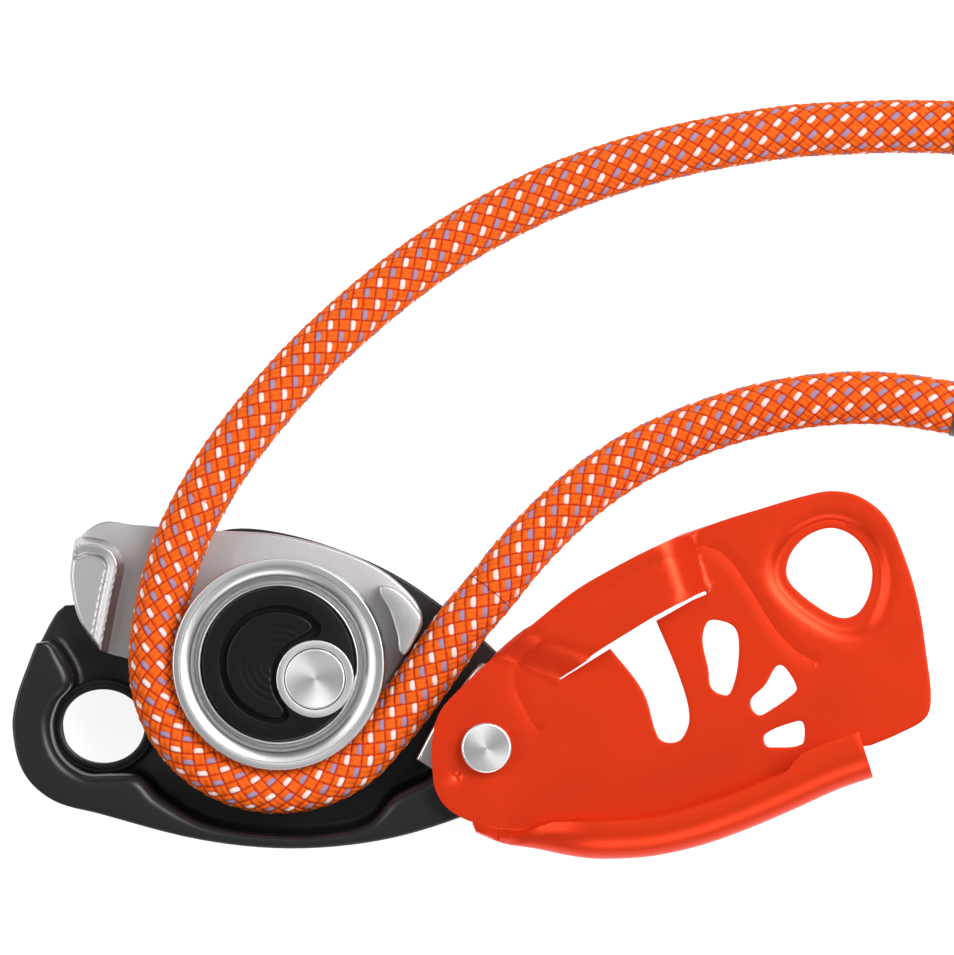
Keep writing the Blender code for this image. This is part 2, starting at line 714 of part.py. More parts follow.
# The shear line under the strap's free edge, and the arc slot that it opens into
STRAP_SLOT = [
    (8.5, 12.9, 0), (13.4, 13.9, 0), (21.3, 18.2, 0), (29.1, 23.0, 0), (36.2, 26.8, 0),
    (38.9, 27.9, 0), (38.9, 27.1, 0), (36.5, 26.1, 0), (30.0, 22.4, 0), (34.1, 12.6), (35.9, 5.5),
    (34.6, 1.6), (32.3, 0.8), (30.3, 1.9), (27.7, 9.9), (21.9, 17.5, 0), (13.8, 13.1, 0),
    (8.8, 12.1, 0),
]
SLOT_2 = [
    (38.9, 22.0), (40.3, 22.6), (43.6, 21.5), (44.6, 19.2), (44.4, 14.0), (43.4, 10.2),
    (42.4, 9.2), (39.8, 10.5), (39.2, 14.0), (38.2, 18.9),
]
SLOT_3 = [
    (46.8, 8.6), (49.2, 11.0), (51.0, 14.1), (52.0, 14.6), (53.2, 13.7), (54.9, 10.6),
    (54.2, 9.4), (49.6, 6.2), (48.2, 5.7), (46.9, 6.9),
]
SLOT_4 = [(49.3, 2.4), (54.6, 4.6), (55.9, 4.5), (56.3, 2.4), (55.7, 0.5), (51.0, 0.0), (49.4, 0.4)]
PLATE_EYE = [
    (53.1, 30.6), (53.9, 34.4), (57.0, 37.6), (61.4, 38.8), (65.6, 36.8), (68.1, 32.4),
    (67.9, 27.7), (66.0, 24.0), (63.3, 22.9), (60.0, 24.0), (54.9, 27.8),
]
# The flat ring round the eye at the bottom of its dish, and the dish's outer edge
PLATE_EYE_RING = [
    (51.5, 30.4), (52.3, 35.3), (56.1, 39.1), (61.5, 40.5), (66.8, 38.1), (69.8, 32.8),
    (69.5, 27.2), (67.2, 22.6), (63.2, 21.1), (59.0, 22.5), (53.5, 26.8),
]
PLATE_DISH = [
    (49.0, 32.0), (51.6, 37.4), (56.0, 40.6), (62.0, 41.9), (68.6, 38.9), (71.7, 32.6),
    (71.6, 25.9), (68.8, 19.8), (64.0, 18.4), (57.6, 20.8), (50.7, 26.6),
]
STRAP_DIRECTION = Vector((0.906, 0.423))


def smooth_step(value):
    share = min(max(value, 0.0), 1.0)
    return share * share * (3.0 - 2.0 * share)


def strap_frame(point):
    """How far a point lies along the strap, and how far across it."""
    place = Vector(point[:2])
    return place.dot(STRAP_DIRECTION), STRAP_DIRECTION.x * place.y - STRAP_DIRECTION.y * place.x


def strap_rise(point):
    """How far the sheet stands up at a point: nothing below the shear line under the strap."""
    along, across = strap_frame(point)
    edge = [strap_frame(place) for place in STRAP_EDGE]
    line = edge[0][1] if along < edge[0][0] else edge[-1][1]
    for start, end in zip(edge, edge[1:]):
        if start[0] <= along <= end[0]:
            line = start[1] + (along - start[0]) / (end[0] - start[0]) * (end[1] - start[1])
    if across < line - 0.4:
        return 0.0
    ramp_up = smooth_step((along - edge[0][0]) / 8.0)
    ramp_down = smooth_step((edge[-1][0] - along) / 6.0)
    return STRAP_HEIGHT * ramp_up * ramp_down


def inside_loop(point, loop):
    within = False
    for a, b in zip(loop, loop[1:] + loop[:1]):
        if (a[1] > point[1]) != (b[1] > point[1]):
            if point[0] < a[0] + (point[1] - a[1]) / (b[1] - a[1]) * (b[0] - a[0]):
                within = not within
    return within


def lip_turn(point):
    """How far round the lip is rolled at a point of its line: from nothing to a half turn."""
    return math.radians(185.0) * smooth_step((point[0] + 6.0) / 19.0)


def lip_radius(point):
    """How wide the lip is rolled at a point of its line: it opens out away from the hinge."""
    opened = smooth_step((point[0] + 3.0) / 24.0)
    return LIP_RADIUS_AT_HINGE + (LIP_RADIUS - LIP_RADIUS_AT_HINGE) * opened


def side_plate_surface():
    """The sheet's middle surface: a flat panel with the strap raised and the lip rolled up."""
    outline = sample_outline(PLATE_EDGE + LIP_LINE, 3)
    lip_start = 3 * (len(PLATE_EDGE) - 1) + 1
    lip_end = lip_start + 3 * (len(LIP_LINE) - 1) + 1
    lip_points = outline[lip_start:lip_end]
    holes = [sample_outline(nodes, 3) for nodes in (SLOT_2, SLOT_3, SLOT_4, PLATE_EYE)]
    holes.append(sample_outline(STRAP_SLOT, 3))
    holes.append([Vector(p) for p in circle_nodes((0.0, 0.0), HINGE_BUSH_RADIUS + GAP, count=24)])
    loops = [outline, *holes]
    dish_floor = sample_outline(PLATE_EYE_RING, 3)
    places = []
    edges = []
    sunk = set()
    for loop in [*loops, dish_floor, sample_outline(PLATE_DISH, 3)]:
        first = len(places)
        if loop in (holes[3], dish_floor):
            sunk.update(range(first, first + len(loop)))
        places.extend(loop)
        edges.extend((first + i, first + (i + 1) % len(loop)) for i in range(len(loop)))
    for column in range(12):
        for row in range(6):
            spot = Vector((8.0 + 3.0 * column, 16.5 + 1.6 * column + 3.0 * row))
            if all(inside_loop(spot, loop) == (loop is outline) for loop in loops):
                if min((spot - near).length for near in places) > 1.2:
                    places.append(spot)
    points, _, faces, origins, _, _ = delaunay_2d_cdt(places, edges, [], 0, 0.000001)
    sheet = bmesh.new()
    made = []
    for point, found in zip(points, origins):
        rise = strap_rise(point) if sunk.isdisjoint(found) else -DISH_DEPTH
        made.append(sheet.verts.new((point.x * MM, point.y * MM, rise * MM)))
    for face in faces:
        centre = sum((points[i] for i in face), Vector((0.0, 0.0))) / 3
        if inside_loop(centre, outline) and not any(inside_loop(centre, hole) for hole in holes):
            sheet.faces.new([made[i] for i in face])
    at_input = {origin: made[i] for i, found in enumerate(origins) for origin in found}
    roll_lip(sheet, lip_points, [at_input[i] for i in range(lip_start, lip_end)])
    for vertex in [v for v in sheet.verts if not v.link_faces]:
        sheet.verts.remove(vertex)
    bmesh.ops.recalc_face_normals(sheet, faces=sheet.faces)
    return sheet


def roll_lip(sheet, lip_points, lip_verts):
    """Adds the rolled lip: rows of points that turn outward, up and back from the lip's line."""
    rows = 9
    count = len(lip_points)
    strips = []
    for i, (point, vertex) in enumerate(zip(lip_points, lip_verts)):
        before = lip_points[max(i - 1, 0)]
        after = lip_points[min(i + 1, count - 1)]
        along = (after - before).normalized()
        outward = Vector((-along.y, along.x))
        strip = [vertex]
        turn = lip_turn(point)
        radius = lip_radius(point)
        for row in range(1, rows + 1):
            angle = turn * row / rows
            reach = radius * math.sin(angle)
            rise = radius * LIP_FLATNESS * (1.0 - math.cos(angle))
            spot = point + outward * reach
            strip.append(sheet.verts.new((spot.x * MM, spot.y * MM, rise * MM)))
        strips.append(strip)
    for left, right in zip(strips, strips[1:]):
        for row in range(rows):
            corners = [left[row], left[row + 1], right[row + 1], right[row]]
            sheet.faces.new(corners)


def moving_side_plate(parts, orange):
    sheet = side_plate_surface()
    mesh = bpy.data.meshes.new("moving_side_plate")
    sheet.to_mesh(mesh)
    sheet.free()
    plate = bpy.data.objects.new("moving_side_plate", mesh)
    middle = PLATE_BOTTOM + PLATE_THICKNESS / 2
    plate.location = (HINGE_AXIS[0] * MM, HINGE_AXIS[1] * MM, middle * MM)
    parts.objects.link(plate)
    shell = plate.modifiers.new("thickness", "SOLIDIFY")
    shell.thickness = PLATE_THICKNESS * MM
    shell.offset = 0.0
    return finish(plate, orange)


# ---------------------------------------------------------------- rope

# Route of the middle of the rope: in from the climber's side, round the wheel, out to the brake
# side. Each point is (x, y, height above the surface), measured from the cam axle in plan.
CLIMBER_STRAND = [
    (119.0, 98.4, 4.9), (104.0, 98.7, 4.9), (95.1, 98.4, 4.9), (86.2, 97.9, 4.9),
    (77.3, 96.7, 4.9), (68.4, 95.1, 4.9), (59.5, 93.0, 4.9), (50.6, 90.3, 4.9),
    (41.7, 86.9, 5.0), (32.8, 82.6, 5.6), (23.9, 77.5, 6.8), (15.4, 71.5, 8.6),
    (6.6, 64.2, 11.0), (-1.6, 56.4, 13.8), (-9.0, 48.0, 16.6), (-15.6, 39.4, 18.6),
]
WRAP_IN = [(-20.4, 31.5, 19.3), (-24.1, 23.8, 19.5), (-26.6, 16.0, 19.5), (-28.0, 9.0, 19.5)]
WRAP_OUT = [(16.9, -3.5, 19.5), (22.6, 4.6, 19.5), (26.6, 10.2, 19.4), (30.9, 15.2, 19.0)]
BRAKE_STRAND = [
    (36.4, 22.0, 17.6), (42.3, 28.2, 15.2), (49.0, 34.0, 12.2), (56.4, 38.9, 9.3),
    (64.4, 42.8, 6.9), (73.0, 46.0, 5.4), (81.6, 48.3, 4.9), (90.0, 49.6, 4.9),
    (99.0, 50.0, 4.9), (108.0, 49.2, 4.9), (119.0, 47.2, 4.9),
]
WRAP_FIRST_ANGLE = 178.0
WRAP_LAST_ANGLE = 321.0


def rope_route():
    """The whole route, with the turn round the wheel filled in."""
    turns = [WRAP_FIRST_ANGLE + (WRAP_LAST_ANGLE - WRAP_FIRST_ANGLE) * i / 12 for i in range(13)]
    round_wheel = [
        (*polar(WHEEL_OFFSET, ROPE_TURN_RADIUS, degrees), ROPE_LEVEL) for degrees in turns
    ]
    route = CLIMBER_STRAND + WRAP_IN + round_wheel + WRAP_OUT + BRAKE_STRAND
    return [Vector((x + CAM_AXIS[0], y + CAM_AXIS[1], level)) for x, y, level in route]


def rope_stretch(route, first, last):
    """Points of the smooth curve through the route, from one node to another, less half a gap."""
    points = []
    for i in range(first, last):
        a, b = route[i], route[i + 1]
        before = route[max(i - 1, 0)]
        after = route[min(i + 2, len(route) - 1)]
        span = (b - a).length
        leave = (b - before).normalized() * span
        arrive = (after - a).normalized() * span
        for t in (0.0, 0.5):
            points.append(
                a * (2 * t**3 - 3 * t**2 + 1)
                + leave * (t**3 - 2 * t**2 + t)
                + b * (3 * t**2 - 2 * t**3)
                + arrive * (t**3 - t**2)
            )
    points.append(route[last])
    points[0] = points[0] + (points[1] - points[0]).normalized() * GAP / 2
    points[-1] = points[-1] + (points[-2] - points[-1]).normalized() * GAP / 2
    return points


def rope(parts, braid):
    """The rope's three stretches: round the wheel, and the strand that leaves on each side."""
    route = rope_route()
    wrap_first = len(CLIMBER_STRAND)
    wrap_last = len(route) - len(BRAKE_STRAND) - 1
    stretches = [
        ("rope_wrap", wrap_first, wrap_last),
        ("rope_climber_strand", 0, wrap_first),
        ("rope_brake_strand", wrap_last, len(route) - 1),
    ]
    for name, first, last in stretches:
        stretch = tube(name, parts, rope_stretch(route, first, last), ROPE_DIAMETER / 2)
        finish(stretch, braid)


# ---------------------------------------------------------------- the whole device

def main():
    clear_scene()
    parts = new_collection("rope_descender")
    cutters = new_collection("cutters")

    black_alloy = material("black_alloy", (0.035, 0.035, 0.037), 0.45, 0.4)
    orange_alloy = material("orange_alloy", (0.72, 0.055, 0.012), 0.35, 0.6)
    steel = material("steel", (0.56, 0.56, 0.57), 0.3, 1.0)
    polished_steel = material("polished_steel", (0.68, 0.68, 0.69), 0.18, 1.0)
    spring_steel = material("spring_steel", (0.3, 0.3, 0.32), 0.35, 1.0)
    grey_alloy = material("grey_alloy", (0.5, 0.5, 0.52), 0.4, 1.0)
    bronze = material("bronze", (0.45, 0.28, 0.12), 0.4, 1.0)
    black_plastic = material("black_plastic", (0.02, 0.02, 0.021), 0.5, 0.0)
    nylon = material("nylon", (0.7, 0.68, 0.62), 0.55, 0.0)
    braid = material("rope_braid", (0.85, 0.18, 0.04), 0.85, 0.0)

    fixed_side_plate(parts, cutters, black_alloy)
    friction_plate(parts, cutters, steel)
    friction_plate_screws(parts, steel)
    hinge(parts, steel, bronze, nylon)
    cam_axle(parts, polished_steel)
    springs(parts, spring_steel)
    rope(parts, braid)

    swinging = moving_side_plate(parts, orange_alloy)
    hang_on(
        joint_empty("side_plate_hinge", parts, HINGE_AXIS, PLATE_BOTTOM),
        [swinging, bpy.data.objects["hinge_bush"]],
    )

    wheel = rope_wheel(parts, polished_steel)
    inner_race, outer_race, rolling = bearing(parts, cutters, steel, nylon)
    cam_pieces = [
        cam_plate(parts, cutters, steel),
        cam_hub(parts, cutters, grey_alloy),
        hub_cover(parts, cutters, black_plastic),
        cam_bush(parts, bronze),
        inner_race,
        *cam_hub_screws(parts, steel),
    ]
    cam_pivot = joint_empty("cam_pivot", parts, CAM_AXIS, CAM_BOTTOM)
    wheel_spin = joint_empty("wheel_spin", parts, WHEEL_AXIS, ROPE_LEVEL)
    cage_roll = joint_empty("cage_roll", parts, WHEEL_AXIS, ROPE_LEVEL)
    hang_on(cam_pivot, [*cam_pieces, wheel_spin, cage_roll])
    hang_on(wheel_spin, [wheel, outer_race])
    hang_on(cage_roll, rolling)

    hang_on(
        joint_empty("handle_pull", parts, CAM_AXIS, HANDLE_TOP),
        handle(parts, cutters, black_plastic, steel),
    )


main()
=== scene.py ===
"""Looks of a rope descender that lies open on a white surface with its rope threaded.

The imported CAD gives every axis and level. Outlines are in millimetres, seen from the front (+Z),
and measured from an axis: the wheel's for the wheel and the hub cover, the hinge rivet's for the
swinging plate, and the cam axle's for the rest.
"""

import json
import math

import bmesh
import bpy
import numpy as np
from mathutils import Matrix, Vector
from mathutils.geometry import delaunay_2d_cdt


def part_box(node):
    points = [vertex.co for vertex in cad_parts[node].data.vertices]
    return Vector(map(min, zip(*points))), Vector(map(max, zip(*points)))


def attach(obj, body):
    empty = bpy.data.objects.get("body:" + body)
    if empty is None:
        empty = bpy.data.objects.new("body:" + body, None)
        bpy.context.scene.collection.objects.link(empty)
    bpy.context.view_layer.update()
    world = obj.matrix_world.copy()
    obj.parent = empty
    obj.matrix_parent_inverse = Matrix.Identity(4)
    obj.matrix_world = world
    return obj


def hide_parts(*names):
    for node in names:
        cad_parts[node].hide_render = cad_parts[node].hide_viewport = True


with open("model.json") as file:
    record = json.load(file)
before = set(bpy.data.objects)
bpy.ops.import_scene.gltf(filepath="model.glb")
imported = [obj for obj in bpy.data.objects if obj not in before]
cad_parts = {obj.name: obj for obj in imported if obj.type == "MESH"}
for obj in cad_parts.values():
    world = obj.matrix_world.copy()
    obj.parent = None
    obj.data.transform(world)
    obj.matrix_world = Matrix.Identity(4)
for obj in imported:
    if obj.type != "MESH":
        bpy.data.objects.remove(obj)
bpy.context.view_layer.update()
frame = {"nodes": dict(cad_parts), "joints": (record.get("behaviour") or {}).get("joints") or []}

MM = 0.001
JOINT_PLACES = {joint["name"]: Vector(joint["pos_m"]) / MM for joint in frame["joints"]}
CAM_AXIS = JOINT_PLACES["cam_pivot"].xy
WHEEL_AXIS = JOINT_PLACES["wheel_spin"].xy
HINGE_AXIS = JOINT_PLACES["side_plate_hinge"].xy
WHEEL_OFFSET = WHEEL_AXIS - CAM_AXIS


def low_level(node):
    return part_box(node)[0].z / MM


def high_level(node):
    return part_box(node)[1].z / MM


# ---------------------------------------------------------------- outlines and meshes

def smooth_line(places, corners, per_span, closed):
    """Points of a smooth curve through the places, which runs straight at a corner."""
    count = len(places)
    points = []
    for i in range(count if closed else count - 1):
        after = (i + 1) % count
        a, b = places[i], places[after]
        before = places[i - 1] if closed or i else a
        beyond = places[(i + 2) % count] if closed or i + 2 < count else b
        span = np.linalg.norm(b - a)
        leave = (b - a) if corners[i] else (b - before) / np.linalg.norm(b - before) * span
        arrive = (b - a) if corners[after] else (beyond - a) / np.linalg.norm(beyond - a) * span
        for k in range(per_span):
            t = k / per_span
            points.append(
                a * (2 * t**3 - 3 * t**2 + 1) + leave * (t**3 - 2 * t**2 + t)
                + b * (3 * t**2 - 2 * t**3) + arrive * (t**3 - t**2)
            )
    if not closed:
        points.append(places[-1])
    return np.array(points)


def smooth_loop(nodes, per_span=6, closed=True):
    """Points of a smooth curve through (x, y) nodes. A node with a third value is a corner."""
    places = np.array([node[:2] for node in nodes], float)
    return smooth_line(places, [len(node) > 2 for node in nodes], per_span, closed)


def circle(centre, radius_x, radius_y=None, count=64):
    turns = np.arange(count) * 2 * math.pi / count
    radius_y = radius_y or radius_x
    return np.stack(
        [centre[0] + radius_x * np.cos(turns), centre[1] + radius_y * np.sin(turns)], axis=1
    )


def signed_area(loop):
    x, y = loop[:, 0], loop[:, 1]
    return 0.5 * float(np.sum(x * np.roll(y, -1) - y * np.roll(x, -1)))


def inside(points, loop):
    """Which of the points lie inside the loop."""
    found = np.zeros(len(points), bool)
    for a, b in zip(loop, np.roll(loop, -1, axis=0)):
        if a[1] != b[1]:
            spans = (a[1] > points[:, 1]) != (b[1] > points[:, 1])
            crossing = a[0] + (points[:, 1] - a[1]) / (b[1] - a[1]) * (b[0] - a[0])
            found ^= spans & (points[:, 0] < crossing)
    return found


def left_normals(loop):
    """Mitred normals on the left of a closed loop's direction of travel."""
    ahead = np.roll(loop, -1, axis=0) - loop
    ahead /= np.linalg.norm(ahead, axis=1)[:, None]
    behind = np.roll(ahead, 1, axis=0)
    normal_ahead = np.stack([-ahead[:, 1], ahead[:, 0]], axis=1)
    normal_behind = np.stack([-behind[:, 1], behind[:, 0]], axis=1)
    facing = np.clip((normal_ahead * normal_behind).sum(1), -0.5, 1.0)
    return (normal_ahead + normal_behind) / (1.0 + facing)[:, None]


def left_of_line(line):
    """Unit vectors on the left of an open line's direction of travel."""
    ahead = np.gradient(line, axis=0)
    ahead /= np.linalg.norm(ahead, axis=1)[:, None]
    return np.stack([-ahead[:, 1], ahead[:, 0]], axis=1)


def material_on_left(loops):
    """The outline counter-clockwise and its holes clockwise."""
    turned_loops = []
    for i, loop in enumerate(loops):
        wanted = 1.0 if i == 0 else -1.0
        turned_loops.append(loop if signed_area(loop) * wanted > 0 else loop[::-1].copy())
    return turned_loops


def fill(loops, extra_points=(), extra_edges=()):
    """Triangles over the outline less its holes, with points and edges that they must use."""
    places = [tuple(point) for loop in loops for point in loop]
    edges = []
    first = 0
    for loop in loops:
        edges.extend((first + i, first + (i + 1) % len(loop)) for i in range(len(loop)))
        first += len(loop)
    places.extend(tuple(point) for point in extra_points)
    edges.extend((first + a, first + b) for a, b in extra_edges)
    found, _, faces, origins, _, _ = delaunay_2d_cdt(
        [Vector(place) for place in places], edges, [], 0, 1e-7
    )
    points = np.array([place[:] for place in found])
    faces = np.array([face[:] for face in faces])
    centres = points[faces].mean(axis=1)
    keep = inside(centres, loops[0])
    for hole in loops[1:]:
        keep &= ~inside(centres, hole)
    return points, faces[keep], origins


def new_object(name, points, faces, look, axis=(0.0, 0.0), sharp=35.0):
    """A smooth-shaded mesh object from millimetre points round an axis."""
    mesh = bpy.data.meshes.new(name)
    mesh.from_pydata([tuple(value * MM for value in point) for point in points], [], faces)
    mesh.materials.append(look)
    mesh.shade_smooth()
    mesh.set_sharp_from_angle(angle=math.radians(sharp))
    made = bpy.data.objects.new(name, mesh)
    made.location = (axis[0] * MM, axis[1] * MM, 0.0)
    bpy.context.scene.collection.objects.link(made)
    return made


def rounded(bottom, top, low_radius, high_radius, steps=4):
    """Rings (inset, level) up the side of a slab whose two edges are rounded."""
    turns = [math.pi / 2 * k / steps for k in range(steps + 1)]
    low = [(low_radius * (1 - math.sin(t)), bottom + low_radius * (1 - math.cos(t))) for t in turns]
    high = [(high_radius * (1 - math.cos(t)), top - high_radius * (1 - math.sin(t))) for t in turns]
    return low + high


def slab_data(loops, rings):
    """Points and faces of a slab: rings (inset, level) run up its side from the bottom."""
    loops = material_on_left(loops)
    normals = [left_normals(loop) for loop in loops]
    total = sum(len(loop) for loop in loops)
    points = []
    for inset, level in rings:
        for loop, normal in zip(loops, normals):
            points.extend((x, y, level) for x, y in loop + normal * inset)
    faces = []
    for ring in range(len(rings) - 1):
        first = ring * total
        for loop in loops:
            count = len(loop)
            for i in range(count):
                a, b = first + i, first + (i + 1) % count
                faces.append((a, b, b + total, a + total))
            first += count
    for ring, upward in ((0, False), (len(rings) - 1, True)):
        inset, level = rings[ring]
        cap_loops = [loop + normal * inset for loop, normal in zip(loops, normals)]
        flat, triangles, origins = fill(cap_loops)
        ids = [ring * total + sources[0] if sources else None for sources in origins]
        for i, place in enumerate(flat):
            if ids[i] is None:
                ids[i] = len(points)
                points.append((*place, level))
        for face in triangles:
            corners = [ids[i] for i in face]
            faces.append(corners if upward else corners[::-1])
    return points, faces


def closed_line(loop):
    return np.concatenate([loop, loop[:1]])


def line_distance(points, line):
    """How far each point lies from an open line."""
    nearest = np.full(len(points), 1e9)
    for a, b in zip(line, line[1:]):
        span = b - a
        share = np.clip((points - a) @ span / max(span @ span, 1e-12), 0.0, 1.0)
        nearest = np.minimum(nearest, np.linalg.norm(points - a - share[:, None] * span, axis=1))
    return nearest


def grid_inside(loop, low, high, step):
    """Points of a square grid from one corner to another that lie inside the loop."""
    columns, rows = np.meshgrid(np.arange(low[0], high[0], step), np.arange(low[1], high[1], step))
    grid = np.stack([columns.ravel(), rows.ravel()], axis=1)
    return grid[inside(grid, loop)]


def relief_data(loop, bottom, levels, step=0.3):
    """A solid inside a loop, under a surface whose level is given at each of its points."""
    loop = material_on_left([loop])[0]
    grid = grid_inside(loop, loop.min(axis=0), loop.max(axis=0), step)
    grid = grid[line_distance(grid, closed_line(loop)) > 0.4 * step]
    flat, triangles, _ = fill([loop], grid)
    points = [(x, y, level) for (x, y), level in zip(flat, levels(flat))]
    faces = [tuple(int(i) for i in face) for face in triangles]
    count = len(loop)
    first = len(points)
    points.extend((x, y, bottom) for x, y in loop)
    faces.extend((first + i, first + (i + 1) % count, (i + 1) % count, i) for i in range(count))
    return points, faces


def slab(name, axis, loops, rings, look):
    return new_object(name, *slab_data(loops, rings), look, axis)


def turned_data(profile, closed, steps):
    points = []
    rows = []
    for radius, level in profile:
        if radius < 1e-6:
            rows.append([len(points)] * steps)
            points.append((0.0, 0.0, level))
            continue
        rows.append(list(range(len(points), len(points) + steps)))
        for i in range(steps):
            turn = 2 * math.pi * i / steps
            points.append((radius * math.cos(turn), radius * math.sin(turn), level))
    faces = []
    pairs = list(zip(rows, rows[1:]))
    if closed:
        pairs.append((rows[-1], rows[0]))
    for upper, lower in pairs:
        for i in range(steps):
            j = (i + 1) % steps
            corners = [upper[i], lower[i], lower[j], upper[j]]
            distinct = list(dict.fromkeys(corners))
            if len(distinct) > 2:
                faces.append(distinct)
    return points, faces


def turned(name, axis, profile, look, closed=False, steps=128):
    """A turned piece: its (radius, level) profile runs down the outer side."""
    return new_object(name, *turned_data(profile, closed, steps), look, axis, sharp=28.0)


def arc(x, y, radius, first, last, steps=6):
    """Points of an arc about (x, y), from one angle to another in degrees."""
    turns = [math.radians(first + (last - first) * i / steps) for i in range(steps + 1)]
    return [(x + radius * math.cos(t), y + radius * math.sin(t)) for t in turns]


def join(name, pieces):
    """One object from several that share an axis."""
    merged = bmesh.new()
    slots = []
    for piece in pieces:
        part = piece.data.copy()
        shift = piece.matrix_basis.translation - pieces[0].matrix_basis.translation
        part.transform(Matrix.Translation(shift))
        look = part.materials[0]
        if look not in slots:
            slots.append(look)
        for face in part.polygons:
            face.material_index = slots.index(look)
        merged.from_mesh(part)
    whole = bpy.data.meshes.new(name)
    merged.to_mesh(whole)
    merged.free()
    for look in slots:
        whole.materials.append(look)
    made = bpy.data.objects.new(name, whole)
    made.location = pieces[0].location
    bpy.context.scene.collection.objects.link(made)
    for piece in pieces:
        bpy.data.objects.remove(piece, do_unlink=True)
    return made


def cut(target, tool):
    """Cuts the tool from the target for good, and removes the tool."""
    change = target.modifiers.new("cut", "BOOLEAN")
    change.object = tool
    change.operation = "DIFFERENCE"
    change.solver = "EXACT"
    bpy.context.view_layer.update()
    evaluated = target.evaluated_get(bpy.context.evaluated_depsgraph_get())
    mesh = bpy.data.meshes.new_from_object(evaluated)
    target.modifiers.clear()
    target.data = mesh
    bpy.data.objects.remove(tool, do_unlink=True)


# ---------------------------------------------------------------- materials

def new_look(name, colour, roughness, metallic=0.0, **settings):
    look = bpy.data.materials.new(name)
    look.use_nodes = True
    shader = look.node_tree.nodes["Principled BSDF"]
    shader.inputs["Base Color"].default_value = (*colour, 1.0)
    shader.inputs["Roughness"].default_value = roughness
    shader.inputs["Metallic"].default_value = metallic
    for socket, value in settings.items():
        shader.inputs[socket.replace("_", " ")].default_value = value
    return look


def node(look, kind, **values):
    made = look.node_tree.nodes.new(kind)
    for key, value in values.items():
        if hasattr(made, key):
            setattr(made, key, value)
        else:
            made.inputs[key.replace("_", " ")].default_value = value
    return made


def link(look, source, target):
    look.node_tree.links.new(source, target)


def shader_of(look):
    return look.node_tree.nodes["Principled BSDF"]


def object_place(look, stretch=(1.0, 1.0, 1.0)):
    """The point on the object, scaled before a texture reads it."""
    place = node(look, "ShaderNodeTexCoord")
    scaled = node(look, "ShaderNodeMapping")
    scaled.inputs["Scale"].default_value = stretch
    link(look, place.outputs["Object"], scaled.inputs["Vector"])
    return scaled.outputs["Vector"]


def ranged(look, texture, low, high):
    """A texture's value, spread from low to high."""
    ramp = node(look, "ShaderNodeMapRange", To_Min=low, To_Max=high)
    link(look, texture, ramp.inputs["Value"])
    return ramp.outputs["Result"]


def vary_colour(look, texture, colour, low, high):
    """Lightens and darkens the base colour, which is a value or a socket, with a texture."""
    tint = node(look, "ShaderNodeVectorMath", operation="SCALE")
    if isinstance(colour, tuple):
        tint.inputs[0].default_value = colour
    else:
        link(look, colour, tint.inputs[0])
    link(look, ranged(look, texture, low, high), tint.inputs["Scale"])
    link(look, tint.outputs["Vector"], shader_of(look).inputs["Base Color"])


def vary_roughness(look, texture, low, high):
    link(look, ranged(look, texture, low, high), shader_of(look).inputs["Roughness"])


def bump(look, height, distance):
    relief = node(look, "ShaderNodeBump", Distance=distance * MM)
    link(look, height, relief.inputs["Height"])
    link(look, relief.outputs["Normal"], shader_of(look).inputs["Normal"])


def grained(name, colour, roughness, metallic, grain, depth, stretch=(1, 1, 1), **settings):
    """A surface with a fine grain, in millimetres, and a slow change of tone."""
    look = new_look(name, colour, roughness, metallic, **settings)
    fine = node(look, "ShaderNodeTexNoise", Scale=1.0 / (grain * MM), Detail=3.0)
    slow = node(look, "ShaderNodeTexNoise", Scale=60.0, Detail=2.0)
    link(look, object_place(look, stretch), fine.inputs["Vector"])
    link(look, object_place(look), slow.inputs["Vector"])
    vary_colour(look, slow.outputs["Fac"], colour, 0.92, 1.08)
    vary_roughness(look, fine.outputs["Fac"], roughness - 0.07, roughness + 0.07)
    bump(look, fine.outputs["Fac"], depth)
    return look


def lathed(name, colour, roughness, pitch, depth, **settings):
    """A turned surface: fine rings about the piece's own axis."""
    look = new_look(name, colour, roughness, 1.0, **settings)
    place = node(look, "ShaderNodeTexCoord")
    flat = node(look, "ShaderNodeVectorMath", operation="MULTIPLY")
    flat.inputs[1].default_value = (1.0, 1.0, 0.0)
    reach = node(look, "ShaderNodeVectorMath", operation="LENGTH")
    rings = node(look, "ShaderNodeTexNoise", noise_dimensions="1D", Scale=1.0 / (pitch * MM))
    link(look, place.outputs["Object"], flat.inputs[0])
    link(look, flat.outputs["Vector"], reach.inputs[0])
    link(look, reach.outputs["Value"], rings.inputs["W"])
    vary_colour(look, rings.outputs["Fac"], colour, 0.93, 1.07)
    vary_roughness(look, rings.outputs["Fac"], roughness - 0.06, roughness + 0.08)
    bump(look, rings.outputs["Fac"], depth)
    turn = node(look, "ShaderNodeTangent", direction_type="RADIAL", axis="Z")
    link(look, turn.outputs["Tangent"], shader_of(look).inputs["Tangent"])
    return look


def braid_look():
    """The sheath: each yarn's colour and the painted shade of its crevices are on the mesh, with its
    fibres.
    """
    look = new_look("rope_braid", (0.9, 0.2, 0.04), 0.78, Specular_IOR_Level=0.2)
    # The vertex colours hold the yarn colours darkened by painted shade in the crevices
    yarn = node(look, "ShaderNodeVertexColor", layer_name="yarn")
    fibres = node(look, "ShaderNodeTexNoise", Scale=1.0, Detail=2.0)
    along = node(look, "ShaderNodeUVMap", uv_map="fibres")
    link(look, along.outputs["UV"], fibres.inputs["Vector"])
    vary_colour(look, fibres.outputs["Fac"], yarn.outputs["Color"], 0.8, 1.15)
    bump(look, fibres.outputs["Fac"], 0.05)
    return look


